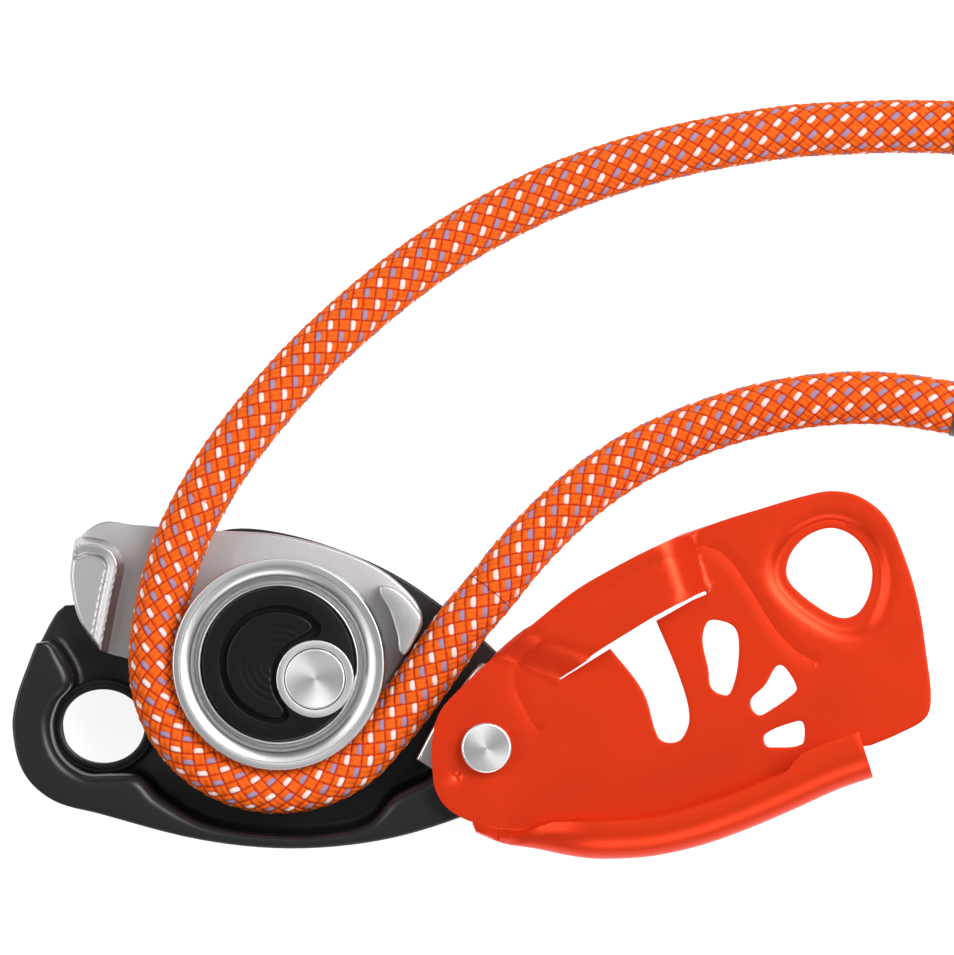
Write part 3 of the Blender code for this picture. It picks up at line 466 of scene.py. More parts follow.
# Each grained look: colour, roughness, metallic, size and depth of the grain in millimetres.
# Each lathed one: colour, roughness, distance and depth of the rings in millimetres.
BLACK = grained(
    "black_alloy", (0.01, 0.01, 0.011), 0.34, 0.0, grain=0.12, depth=0.006, Specular_IOR_Level=0.45,
)
ORANGE = grained(
    "orange_alloy", (0.78, 0.04, 0.005), 0.36, 0.5, grain=0.1, depth=0.004, Specular_IOR_Level=0.3,
)
CAM_STEEL = grained(
    "cam_steel", (0.56, 0.545, 0.55), 0.45, 1.0, grain=0.25, depth=0.003, stretch=(1.0, 0.12, 1.0),
)
FRICTION_STEEL = grained(
    "friction_steel", (0.62, 0.61, 0.6), 0.32, 1.0, grain=0.3, depth=0.006, stretch=(0.2, 1, 1),
)
WHEEL_STEEL = lathed(
    "wheel_steel", (0.64, 0.64, 0.645), 0.38, pitch=0.22, depth=0.003, Anisotropic=0.4,
)
SPUN_STEEL = lathed("spun_steel", (0.9, 0.9, 0.905), 0.36, pitch=0.14, depth=0.003, Anisotropic=0.6)
PLAIN_STEEL = lathed(
    "plain_steel", (0.82, 0.82, 0.83), 0.38, pitch=0.2, depth=0.003, Anisotropic=0.3,
)
BEARING_STEEL = lathed("bearing_steel", (0.6, 0.6, 0.61), 0.14, pitch=0.3, depth=0.001)
SPRING_STEEL = grained("spring_steel", (0.28, 0.28, 0.3), 0.32, 1.0, grain=0.2, depth=0.004)
GREY_ALLOY = lathed("grey_alloy", (0.42, 0.42, 0.44), 0.38, pitch=0.25, depth=0.006)
BRONZE = lathed("bronze", (0.42, 0.26, 0.11), 0.36, pitch=0.25, depth=0.006)
HUB_BLACK = grained(
    "hub_black", (0.004, 0.004, 0.005), 0.4, 0.0, grain=0.15, depth=0.004, Specular_IOR_Level=0.22,
)
HANDLE_BLACK = grained("handle_black", (0.02, 0.02, 0.021), 0.52, 0.0, grain=0.35, depth=0.02)
NYLON = grained("nylon", (0.62, 0.6, 0.54), 0.5, 0.0, grain=0.4, depth=0.01)
BRAID = braid_look()
WHIPPING = grained(
    "whipping", (0.05, 0.05, 0.055), 0.4, 0.0, grain=0.3, depth=0.02, stretch=(1, 1, 0.3),
)


# ---------------------------------------------------------------- fixed side plate

BODY_OUTLINE = [
    (-53.6, -9.3), (-53.0, -3.6), (-50.3, 4.1), (-46.7, 11.2), (-45.0, 12.8, 0), (-42.0, 13.0, 0),
    (-30.0, 20.5), (-17.0, 26.2), (-6.4, 25.8), (7.9, 21.3), (18.6, 15.5), (32.3, 4.4),
    (37.6, -3.0), (38.8, -12.0), (35.0, -20.0), (25.7, -24.6), (11.4, -28.7), (-4.6, -30.1),
    (-20.6, -28.5), (-38.4, -23.9), (-46.4, -21.6), (-51.6, -16.8),
]
# The wall: its outer side goes down from the blunt end above the eye, along the bottom and up
# past the hinge, and its inner side comes back along the channel.
WALL_OUTER = [
    (-49.4, 6.3, 0), (-50.3, 4.1), (-53.0, -3.6), (-53.6, -9.3), (-51.6, -16.8), (-46.4, -21.6),
    (-38.4, -23.9), (-20.6, -28.5), (-4.6, -30.1), (11.4, -28.7), (25.7, -24.6), (35.0, -20.0),
    (38.8, -12.0), (37.6, -3.0), (34.7, 1.4, 0),
]
WALL_INNER = [
    (31.8, 0.4), (29.2, -3.8), (25.4, -9.7), (21.6, -16.6), (14.0, -21.0), (9.7, -25.6),
    (4.3, -27.3), (-4.6, -28.0), (-18.8, -26.2), (-27.7, -21.2), (-31.6, -17.4), (-36.0, -17.1),
    (-41.1, -16.9), (-45.4, -13.6), (-46.9, -8.6), (-45.8, -4.4), (-43.2, -0.6), (-45.8, 5.2),
    (-47.4, 6.6),
]
EYE_CENTRE = (-38.1, -8.8)
EYE_RADII = (7.4, 6.6)
WALL_OUTER_ROUND = 0.5
WALL_INNER_ROUND = 1.9
WALL_FILLET = 1.6


def wall(bottom, top):
    """The raised wall: a fine outer edge, a soft inner edge, and a fillet down to the floor."""
    outer = smooth_loop(WALL_OUTER, closed=False)
    inner = smooth_loop(WALL_INNER, closed=False)
    loop = np.concatenate([outer, inner])
    width = np.linalg.norm(inner[:, None] - outer[None], axis=2).min(axis=1)
    inner_round = np.minimum(WALL_INNER_ROUND, 0.4 * width)
    round_edge = np.concatenate([np.full(len(outer), WALL_OUTER_ROUND), inner_round])
    fillet = np.concatenate([np.zeros(len(outer)), np.full(len(inner), WALL_FILLET)])
    for _ in range(6):
        round_edge = (np.roll(round_edge, 1) + 2 * round_edge + np.roll(round_edge, -1)) / 4
        fillet = (np.roll(fillet, 1) + 2 * fillet + np.roll(fillet, -1)) / 4
    fillet[: len(outer)] = 0.0
    normals = left_normals(loop)
    rings = []
    turns = np.linspace(0.0, math.pi / 2, 7)
    for t in turns:
        spread = fillet * (1 - math.sin(t))
        rings.append((loop - normals * spread[:, None], bottom + fillet * (1 - math.cos(t))))
    for t in turns:
        inset = round_edge * (1 - math.cos(t))
        rings.append((loop + normals * inset[:, None], top - round_edge * (1 - math.sin(t))))
    count = len(loop)
    points = [(x, y, z) for places, levels in rings for (x, y), z in zip(places, levels)]
    faces = [
        (first + i, first + (i + 1) % count, first + count + (i + 1) % count, first + count + i)
        for first in range(0, (len(rings) - 1) * count, count)
        for i in range(count)
    ]
    _, triangles, origins = fill([rings[-1][0]])
    faces.extend([len(points) - count + origins[i][0] for i in face] for face in triangles)
    return new_object("body_wall", points, faces, BLACK, CAM_AXIS, sharp=60.0)


def eye_ring(name, width, bottom, top, low_radius, high_radius):
    """A ring that stands up round the body's eye."""
    rim = circle(EYE_CENTRE, EYE_RADII[0] + width, EYE_RADII[1] + width, count=72)
    eye = circle(EYE_CENTRE, *EYE_RADII, count=72)
    return slab(name, CAM_AXIS, [rim, eye], rounded(bottom, top, low_radius, high_radius), BLACK)


def fixed_side_plate():
    floor = low_level("cam_plate") - 0.3
    back = low_level("cam_plate") - 2.9
    eye = circle(EYE_CENTRE, *EYE_RADII, count=72)
    axle_hole = circle((0.0, 0.0), 3.5, count=32)
    rivet_hole = circle(HINGE_AXIS - CAM_AXIS, 2.9, count=32)
    floor_slab = slab(
        "body_floor", CAM_AXIS, [smooth_loop(BODY_OUTLINE), eye, axle_hole, rivet_hole],
        rounded(back, floor, 0.6, 0.4), BLACK,
    )
    raised_wall = wall(floor, high_level("fixed_side_plate"))
    outer_ring = eye_ring("body_eye_rim", 1.9, low_level("fixed_side_plate"), floor + 1.5, 0.5, 0.5)
    inner_ring = eye_ring("body_eye_band", 1.1, back, floor + 1.8, 0.2, 0.3)
    body = join("body_shell", [floor_slab, raised_wall, outer_ring, inner_ring])
    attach(body, "body")
    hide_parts("fixed_side_plate")


# ---------------------------------------------------------------- friction plate

FRICTION_OUTLINE = [
    (17.9, -14.3, 0), (21.9, -6.9), (26.6, -0.6), (28.6, 1.9), (29.6, 2.5), (30.8, 2.0),
    (31.2, 0.6), (28.6, -3.7), (24.9, -9.5), (21.1, -16.3, 0),
]


def friction_plate():
    plate = slab(
        "friction_plate_face", CAM_AXIS, [smooth_loop(FRICTION_OUTLINE)],
        rounded(low_level("friction_plate"), high_level("friction_plate"), 0.2, 0.5), FRICTION_STEEL,
    )
    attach(plate, "body")
    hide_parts("friction_plate")


# ---------------------------------------------------------------- cam

CAM_OUTLINE = [
    (-38.4, 27.7), (-33.1, 27.3), (-17.9, 26.2), (-6.4, 25.4), (6.1, 21.9), (14.4, 17.1),
    (19.0, 10.6), (16.2, 4.2), (12.5, -2.2), (8.6, -12.0), (-6.5, -16.6), (-20.0, -10.0),
    (-26.0, 0.4), (-33.8, 3.2), (-38.6, 4.9), (-42.2, 10.3), (-43.8, 17.4), (-42.6, 24.2),
]
# The wing's foot, from the cam's left edge along the top and down the right, where a slope rises
WING_FOOT = [
    (-43.1, 24.6), (-41.9, 25.1), (-38.2, 24.8), (-35.7, 23.5), (-34.4, 21.4), (-34.1, 19.6),
    (-35.1, 14.6), (-37.1, 4.3),
]
WING_LEFT_EDGE = [(-38.6, 4.9), (-42.2, 10.3), (-43.8, 17.4), (-43.4, 22.2)]
JAW_OUTLINE = [
    (11.8, 16.6), (14.9, 15.5), (18.4, 11.8), (18.9, 10.3), (17.6, 6.8), (15.9, 4.3), (14.9, 4.8),
    (14.5, 7.6), (13.1, 12.1), (11.4, 15.3),
]

PLATE_TO_WING_TOP = 4.1
WING_SLOPE_WIDTH = 1.4
WING_SLOPE_FOOT = 0.2
WING_RIDGE_DROP = 0.25
WING_FACE_START = 2.9
WING_FACE_STEP_WIDTH = 0.5
WING_FACE_DROP = 0.7
WING_EDGE_WIDTH = 0.6
WING_EDGE_DROP = 0.5


def cam_plate():
    bottom = low_level("cam_plate")
    plate_top = bottom + 2.2
    wing_top = plate_top + PLATE_TO_WING_TOP
    bore = circle((0.0, 0.0), 4.5, count=48)
    plate = slab(
        "cam_sheet", CAM_AXIS, [smooth_loop(CAM_OUTLINE), bore],
        rounded(bottom, plate_top, 0.4, 0.5), CAM_STEEL,
    )

    foot = smooth_loop(WING_FOOT, 8, closed=False)
    left_edge = smooth_loop(WING_LEFT_EDGE, 8, closed=False)

    def wing_level(points):
        """A slope up from the foot to a rounded ridge, round a flat face a little lower."""
        from_foot = line_distance(points, foot)
        from_edge = line_distance(points, left_edge)
        rise = wing_top - plate_top + WING_SLOPE_FOOT
        slope = rise * (1.0 - smooth_step(from_foot / WING_SLOPE_WIDTH))
        ridge = WING_RIDGE_DROP * smooth_step((from_foot - WING_SLOPE_WIDTH) / WING_SLOPE_WIDTH)
        face = WING_FACE_DROP * smooth_step((from_foot - WING_FACE_START) / WING_FACE_STEP_WIDTH)
        edge = WING_EDGE_DROP * (1.0 - np.clip(from_edge / WING_EDGE_WIDTH, 0.0, 1.0)) ** 2
        return wing_top - slope - (face + ridge) - edge

    wing = new_object(
        "cam_wing",
        *relief_data(np.concatenate([foot, left_edge]), plate_top - 1.0, wing_level),
        CAM_STEEL, CAM_AXIS, sharp=55.0,
    )
    jaw = slab(
        "cam_jaw", CAM_AXIS, [smooth_loop(JAW_OUTLINE)],
        rounded(plate_top - 1.0, high_level("cam_plate"), 0.0, 0.5), CAM_STEEL,
    )
    cam = join("cam_face", [plate, wing, jaw])
    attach(cam, "cam")
    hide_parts("cam_plate")


# ---------------------------------------------------------------- hub cover and cam axle

HUB_HOLE_TIPS = ((7.57, 6.68), (7.3, 5.3), (5.9, 4.3)), ((1.3, -7.6), (1.9, -8.7), (1.6, -9.9))
HUB_ISLAND = [
    (0.0, 9.4), (3.56, 8.7), (5.75, 7.3), (6.1, 6.2), (5.04, 5.49), (2.37, 4.0), (0.59, 2.52),
    (-0.74, 0.45), (-1.19, -2.52), (-0.83, -4.9), (0.3, -6.97), (1.04, -8.16), (0.74, -9.2),
    (-0.6, -9.6), (-3.56, -8.8), (-6.8, -6.5), (-8.6, -3.6), (-9.3, 0.0), (-8.6, 3.6), (-6.6, 6.6),
    (-3.56, 8.8),
]
HUB_HOLE_RADIUS = 10.4
HUB_COLLAR_RADIUS = 6.5
ISLAND_DROP = 0.15
ISLAND_EDGE_WIDTH = 0.35
ISLAND_EDGE_DROP = 0.25
ISLAND_STEP_PITCH = 1.25
ISLAND_STEP_DEPTH = 0.06
ISLAND_STEPPED_RADIUS = 8.0


def hub_hole():
    """The hole between a circle about the wheel's axis and the collar about the cam axle."""
    far_side = arc(0.0, 0.0, HUB_HOLE_RADIUS, 56, 266, 35)
    collar = arc(-WHEEL_OFFSET.x, -WHEEL_OFFSET.y, HUB_COLLAR_RADIUS, 232, 104, 16)
    upper_tip, lower_tip = HUB_HOLE_TIPS
    return smooth_loop([*far_side, *lower_tip[::-1], *collar, *upper_tip[::-1]], 2)


def hub_cover():
    """The black cover: a ring, and in its hole a crescent island of fine steps."""
    top = high_level("hub_cover")
    bottom = low_level("hub_cover")
    outline = circle((0.0, 0.0), 13.45, count=144)
    ring = slab(
        "hub_ring", WHEEL_AXIS, [outline, hub_hole()], rounded(bottom, top, 0.2, 0.22), HUB_BLACK,
    )
    island_line = smooth_loop(HUB_ISLAND, 5)

    def island_level(points):
        """A rounded edge round a face with shallow turned steps."""
        from_edge = line_distance(points, closed_line(island_line))
        edge = ISLAND_EDGE_DROP * (1.0 - np.clip(from_edge / ISLAND_EDGE_WIDTH, 0.0, 1.0)) ** 2
        radius = np.linalg.norm(points, axis=1)
        wave = 0.5 + 0.5 * np.sin(radius * 2 * math.pi / ISLAND_STEP_PITCH)
        steps = ISLAND_STEP_DEPTH * wave * smooth_step(ISLAND_STEPPED_RADIUS - radius)
        return top - ISLAND_DROP - edge - steps

    island = new_object(
        "hub_island", *relief_data(island_line, bottom, island_level, step=0.25),
        HUB_BLACK, WHEEL_AXIS, sharp=50.0,
    )
    floor_top = bottom + 0.5
    floor_profile = [(0.0, floor_top), (13.0, floor_top), (13.0, bottom), (0.0, bottom)]
    floor = turned("hub_floor", WHEEL_AXIS, floor_profile, HUB_BLACK)
    hub = join("hub_cover_face", [ring, island, floor])
    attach(hub, "cam")
    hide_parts("hub_cover")


def cam_axle():
    """The axle's spun head and pin, and the collar round the head."""
    top = high_level("cam_axle")
    bottom = low_level("cam_axle")
    under_head = top - 1.6
    head = [
        (0.0, top - 0.1), (0.5, top - 0.1), (5.0, top - 0.06), *arc(5.05, top - 0.35, 0.3, 90, 0),
        (5.38, under_head), (3.2, under_head), (3.2, bottom + 0.5), (2.7, bottom), (0.0, bottom),
    ]
    axle = turned("cam_axle_pin", CAM_AXIS, head, SPUN_STEEL)
    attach(axle, "body")
    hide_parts("cam_axle")
    collar_top = top - 0.12
    collar_bottom = collar_top - 2.2
    collar_profile = [
        *arc(5.6, collar_top - 0.12, 0.12, 180, 90, 3), *arc(6.7, collar_top - 0.15, 0.15, 90, 0, 4),
        (6.85, collar_bottom), (5.48, collar_bottom),
    ]
    collar = turned("cam_axle_ring", CAM_AXIS, collar_profile, PLAIN_STEEL, closed=True)
    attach(collar, "body")
    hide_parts("cam_axle_collar")


# ---------------------------------------------------------------- wheel

def rope_wheel():
    """The sheave: a rounded rim with a fine turned line, a bowl and a bright inner lip."""
    front = high_level("rope_wheel")
    back = low_level("rope_wheel")
    rope_level = JOINT_PLACES["wheel_spin"].z
    groove_bottom, groove_radius = 16.9, 5.3
    rim = 18.87
    bowl = [
        (13.7, front - 1.9), *arc(13.98, front - 1.45, 0.25, 160, 20, 6), (14.32, front - 2.0),
        (14.5, front - 2.55), (14.75, front - 2.5), (15.0, front - 2.0), (15.3, front - 1.4),
        (15.7, front - 0.9), (16.2, front - 0.52), (16.8, front - 0.26), (17.3, front - 0.14),
        (17.4, front - 0.12), (17.42, front - 0.28), (17.5, front - 0.28), (17.52, front - 0.02),
        (17.6, front), *arc(18.5, front - 0.3, 0.3, 90, 20, 4), (rim, front - 0.6),
        (rim - 0.05, front - 1.0),
    ]
    groove = [
        (groove_bottom + groove_radius - groove_radius * math.cos(t),
         rope_level - groove_radius * math.sin(t))
        for t in np.radians(np.linspace(-43, 43, 19))
    ]
    profile = [
        *bowl, *groove, (rim - 0.05, back + 0.5), (rim - 0.4, back), (15.7, back),
        (15.7, front - 3.0), (13.7, front - 2.9),
    ]
    wheel = turned("rope_wheel_sheave", WHEEL_AXIS, profile, WHEEL_STEEL, closed=True, steps=192)
    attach(wheel, "wheel")
    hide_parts("rope_wheel")


# ---------------------------------------------------------------- hinge

def hinge_rivet():
    """The rivet's spun head, its pin, and the foot that is spread at the back."""
    top = high_level("hinge_rivet")
    bottom = low_level("hinge_rivet")
    under_head = top - 1.6
    foot_top = bottom + 1.0
    profile = [
        (0.0, top - 0.12), (0.4, top - 0.1), *arc(4.0, top - 0.5, 0.5, 90, 0), (4.5, under_head),
        (2.6, under_head), (2.6, foot_top), (3.4, foot_top), (3.2, bottom + 0.1), (0.0, bottom),
    ]
    rivet = turned("hinge_rivet_head", HINGE_AXIS, profile, SPUN_STEEL)
    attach(rivet, "body")
    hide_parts("hinge_rivet")


# ---------------------------------------------------------------- swinging side plate

PLATE_THICKNESS = 2.4
PLATE_EDGE = [
    (-9.6, 1.6), (-8.2, 6.4), (-4.6, 10.5), (0.6, 15.4), (7.7, 21.5), (14.9, 27.3), (20.2, 30.6),
    (30.9, 36.1), (41.6, 40.1), (48.7, 42.3), (55.8, 44.4), (61.1, 45.4), (66.0, 44.4),
    (70.6, 40.8), (73.6, 34.6), (76.3, 25.9), (77.8, 16.4), (78.6, 8.6), (77.6, 5.2), (73.0, 2.5),
    (68.0, 0.4, 0),
]
LIP_LINE = [
    (66.4, 0.2, 0), (60.0, -2.0), (52.0, -5.6), (44.0, -9.0), (36.0, -11.8), (28.0, -13.5),
    (20.0, -13.9), (10.0, -13.9), (3.0, -14.2), (-2.4, -13.2), (-6.6, -11.0), (-8.9, -7.8),
    (-9.6, -3.6),
]
STRAP_EDGE = [(12.7, 12.6), (15.4, 14.4), (21.3, 18.2), (29.1, 23.0), (36.2, 26.8), (38.9, 27.9)]
STRAP_SLOT = [
    (12.7, 12.6, 0), (15.4, 14.4, 0), (21.3, 18.2, 0), (29.1, 23.0, 0), (36.2, 26.8, 0),
    (38.9, 27.9, 0), (38.9, 27.1, 0), (36.5, 26.1, 0), (30.0, 22.4, 0), (34.1, 12.6), (35.9, 5.5),
    (34.6, 1.6), (32.3, 0.8), (30.3, 1.9), (27.7, 9.9), (21.9, 17.5, 0), (15.8, 13.7, 0),
    (13.0, 12.0, 0),
]
SLOT_2 = [
    (38.9, 22.0), (40.3, 22.6), (43.6, 21.5), (44.6, 19.2), (44.4, 14.0), (43.4, 10.2),
    (42.4, 9.2), (39.8, 10.5), (39.2, 14.0), (38.2, 18.9),
]
SLOT_3 = [
    (46.8, 8.6), (49.2, 11.0), (51.0, 14.1), (52.0, 14.6), (53.2, 13.7), (54.9, 10.6),
    (54.2, 9.4), (49.6, 6.2), (48.2, 5.7), (46.9, 6.9),
]
SLOT_4 = [(49.3, 2.4), (54.6, 4.6), (55.9, 4.5), (56.3, 2.4), (55.7, 0.5), (51.0, 0.0), (49.4, 0.4)]
PLATE_EYE = [
    (53.1, 30.6), (53.9, 34.4), (57.0, 37.6), (61.4, 38.8), (65.6, 36.8), (68.1, 32.4),
    (67.9, 27.7), (66.0, 24.0), (63.3, 22.9), (60.0, 24.0), (54.9, 27.8),
]
PLATE_EYE_RING = [
    (51.5, 30.4), (52.3, 35.3), (56.1, 39.1), (61.5, 40.5), (66.8, 38.1), (69.8, 32.8),
    (69.5, 27.2), (67.2, 22.6), (63.2, 21.1), (59.0, 22.5), (53.5, 26.8),
]
# The border of the pressed dish round the eye
PLATE_DISH = [
    (49.0, 32.0), (51.6, 37.4), (56.0, 40.6), (62.0, 41.9), (68.6, 38.9), (71.7, 32.6),
    (71.6, 25.9), (68.8, 19.8), (64.0, 18.4), (57.6, 20.8), (50.7, 26.6),
]
GROOVE_LINE = [
    (9.3, 2.4), (6.4, 7.4), (4.9, 11.6), (5.6, 15.4), (9.2, 19.0), (14.0, 23.0), (19.0, 26.6),
    (27.6, 31.6), (35.7, 35.0), (38.6, 35.6), (42.0, 34.2), (45.0, 30.5), (47.9, 25.9),
    (51.3, 20.7), (55.4, 16.6), (58.8, 14.9),
]
EYE_RING_LINE = smooth_loop(PLATE_EYE_RING)
DISH_LINE = smooth_loop(PLATE_DISH)
GROOVE = smooth_loop(GROOVE_LINE, 8, closed=False)
DISH_DEPTH = 0.9
GROOVE_DEPTH = 0.42
GROOVE_HALF_WIDTH = 0.34
GROOVE_HALF_FLOOR = 0.14
DIMPLE_DEPTH = 0.35
DIMPLE_PLACE = (-5.14, -5.06)
STRAP_HEIGHT = 4.6
STRAP_DIRECTION = np.array([0.906, 0.423])
STRAP_CUT_CLEARANCE = 0.4
# The strap's two folds: where each starts along it, at a place across it, and how far it slants
FIRST_FOLD_START, FIRST_FOLD_ACROSS, FIRST_FOLD_SLANT, FIRST_FOLD_LENGTH = 17.2, 5.1, -0.98, 9.0
LAST_FOLD_END, LAST_FOLD_ACROSS, LAST_FOLD_SLANT, LAST_FOLD_LENGTH = 47.1, 8.2, 0.14, 5.2
LIP_RADIUS = 4.5
LIP_RADIUS_AT_HINGE = 1.0
LIP_FLATNESS = 0.8
LIP_FULL_TURN = math.radians(185.0)
LEAST_LIP_TURN = 0.25
LIP_TONGUE_REACH = 2.4
LIP_ROLL_ROWS = 16
LIP_TONGUE_ROWS = 2
SHEET_GRID_STEP = 1.1


def smooth_step(value):
    share = np.clip(value, 0.0, 1.0)
    return share * share * (3.0 - 2.0 * share)


def soft_ramp(value):
    """A straight ramp from 0 to 1 with only its two ends rounded."""
    return 0.7 * np.clip(value, 0.0, 1.0) + 0.3 * smooth_step(value)


def strap_frame(points):
    """How far points lie along the strap, and how far across it."""
    points = np.atleast_2d(points)
    along = points @ STRAP_DIRECTION
    across = points @ np.array([-STRAP_DIRECTION[1], STRAP_DIRECTION[0]])
    return along, across


def strap_rise(points):
    """How far the sheet stands up: two slanted folds carry the strap, cut free along its edge."""
    along, across = strap_frame(points)
    edge_along, edge_across = strap_frame(np.array(STRAP_EDGE))
    free_edge = np.interp(along, edge_along, edge_across)
    first_fold = FIRST_FOLD_START + FIRST_FOLD_SLANT * (across - FIRST_FOLD_ACROSS)
    last_fold = LAST_FOLD_END + LAST_FOLD_SLANT * (across - LAST_FOLD_ACROSS)
    up = soft_ramp((along - first_fold) / FIRST_FOLD_LENGTH)
    down = soft_ramp((last_fold - along) / LAST_FOLD_LENGTH)
    return np.where(across < free_edge - STRAP_CUT_CLEARANCE, 0.0, STRAP_HEIGHT * up * down)


def lip_turn(x):
    """How far the lip is rolled: not at all by the hinge, and fully along the plate."""
    return LIP_FULL_TURN * smooth_step((x + 6.0) / 19.0)


def lip_radius(x):
    return LIP_RADIUS_AT_HINGE + (LIP_RADIUS - LIP_RADIUS_AT_HINGE) * smooth_step((x + 3.0) / 24.0)


def lip_tongue(x):
    """How far the lip's free edge reaches in over the panel beyond its roll."""
    return LIP_TONGUE_REACH * smooth_step((x - 52.0) / 5.0)


def roll_lip(points, lip_points, lip_ids):
    """Adds rows of points that turn outward, up and back from the lip's line, and their faces."""
    strips = []
    for place, out, first in zip(lip_points, left_of_line(lip_points), lip_ids):
        turn, radius = lip_turn(place[0]), lip_radius(place[0])
        if turn < LEAST_LIP_TURN:
            continue
        strip = [first]
        for row in range(1, LIP_ROLL_ROWS + 1):
            angle = turn * row / LIP_ROLL_ROWS
            spot = place + out * radius * math.sin(angle)
            strip.append(len(points))
            points.append((*spot, radius * LIP_FLATNESS * (1.0 - math.cos(angle))))
        tip = points[-1]
        for row in range(1, LIP_TONGUE_ROWS + 1):
            # The last terms keep the tongue's rows apart and slope it a little towards the panel
            reach = lip_tongue(place[0]) * row / LIP_TONGUE_ROWS + 0.02 * row
            spot = np.array(tip[:2]) - out * reach * math.sin(turn / 2)
            strip.append(len(points))
            points.append((*spot, tip[2] - 0.05 * row * math.sin(turn / 2)))
        strips.append(strip)
    return [
        (left[row], left[row + 1], right[row + 1], right[row])
        for left, right in zip(strips, strips[1:])
        for row in range(LIP_ROLL_ROWS + LIP_TONGUE_ROWS)
    ]


def sheet_relief(points):
    """How far the panel lies above or below its flat level: strap, dish, groove and dimple."""
    to_ring = line_distance(points, closed_line(EYE_RING_LINE))
    to_dish = line_distance(points, closed_line(DISH_LINE))
    slope = 1.0 - smooth_step(to_ring / np.maximum(to_ring + to_dish, 1e-9))
    sunk = np.where(inside(points, DISH_LINE), slope, 0.0)
    sunk = np.where(inside(points, EYE_RING_LINE), 1.0, sunk)
    to_edge = GROOVE_HALF_WIDTH - line_distance(points, GROOVE)
    cut_depth = np.clip(to_edge / (GROOVE_HALF_WIDTH - GROOVE_HALF_FLOOR), 0.0, 1.0)
    reach = np.linalg.norm(points - np.array(DIMPLE_PLACE), axis=1)
    dimple = DIMPLE_DEPTH * (1.0 - smooth_step((reach - 0.7) / 0.6))
    return strap_rise(points) - DISH_DEPTH * sunk - GROOVE_DEPTH * cut_depth - dimple


def side_plate_sheet():
    """Points and faces of the plate's middle surface."""
    per_span = 5
    outline = smooth_loop(PLATE_EDGE + LIP_LINE, per_span)
    lip_first = per_span * len(PLATE_EDGE)
    lip_last = lip_first + per_span * (len(LIP_LINE) - 1)
    openings = (STRAP_SLOT, SLOT_2, SLOT_3, SLOT_4, PLATE_EYE)
    holes = [smooth_loop(nodes, per_span) for nodes in openings]
    holes.append(circle((0.0, 0.0), 4.0, count=40))
    loops = [outline, *holes]
    extra = []
    extra_edges = []

    def add_line(line, closed):
        first = len(extra)
        extra.extend(line)
        extra_edges.extend((first + i, first + i + 1) for i in range(len(line) - 1))
        if closed:
            extra_edges.append((first + len(line) - 1, first))

    for share in (0.0, 0.25, 0.5, 0.75, 1.0):
        add_line(EYE_RING_LINE + (DISH_LINE - EYE_RING_LINE) * share, True)
    for radius in (1.35, 1.1, 0.9, 0.7):
        add_line(circle(DIMPLE_PLACE, radius, count=20), True)
    side = left_of_line(GROOVE)
    for reach in (-GROOVE_HALF_WIDTH, -GROOVE_HALF_FLOOR, GROOVE_HALF_FLOOR, GROOVE_HALF_WIDTH):
        add_line((GROOVE + side * reach)[1:-1], False)

    # A row of points just inside every border, where there is room
    kept = np.concatenate([np.array(extra), *loops])
    for loop in material_on_left(loops):
        for point in loop + left_normals(loop) * 0.75:
            if np.linalg.norm(kept - point, axis=1).min() > 0.55:
                extra.append(point)
                kept = np.vstack([kept, point])
    grid = grid_inside(outline, (-9.0, -14.0), (79.0, 46.0), SHEET_GRID_STEP)
    for hole in holes:
        grid = grid[~inside(grid, hole)]
    for point in grid:
        if np.linalg.norm(kept - point, axis=1).min() > 0.8:
            extra.append(point)

    flat, triangles, origins = fill(loops, extra, extra_edges)
    points = [(x, y, z) for (x, y), z in zip(flat, sheet_relief(flat))]
    at_input = {source: i for i, sources in enumerate(origins) for source in sources}
    faces = [tuple(int(i) for i in face) for face in triangles]
    lip_ids = [at_input[i] for i in range(lip_first, lip_last + 1)]
    faces += roll_lip(points, outline[lip_first:lip_last + 1], lip_ids)
    return points, faces


def moving_side_plate():
    points, faces = side_plate_sheet()
    sheet = new_object("side_plate_panel", points, faces, ORANGE, HINGE_AXIS, sharp=38.0)
    sheet.location.z = (JOINT_PLACES["side_plate_hinge"].z + PLATE_THICKNESS / 2) * MM
    built = bmesh.new()
    built.from_mesh(sheet.data)
    bmesh.ops.remove_doubles(built, verts=built.verts, dist=0.02 * MM)
    bmesh.ops.delete(built, geom=[v for v in built.verts if not v.link_faces], context="VERTS")
    bmesh.ops.recalc_face_normals(built, faces=built.faces)
    built.to_mesh(sheet.data)
    built.free()
    shell = sheet.modifiers.new("thickness", "SOLIDIFY")
    shell.thickness = PLATE_THICKNESS * MM
    shell.offset = 0.0
    edge = sheet.modifiers.new("edge", "BEVEL")
    edge.width = 0.3 * MM
    edge.segments = 3
    edge.limit_method = "ANGLE"
    edge.angle_limit = math.radians(72.0)
    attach(sheet, "side_plate")
    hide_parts("moving_side_plate")


# ---------------------------------------------------------------- handle

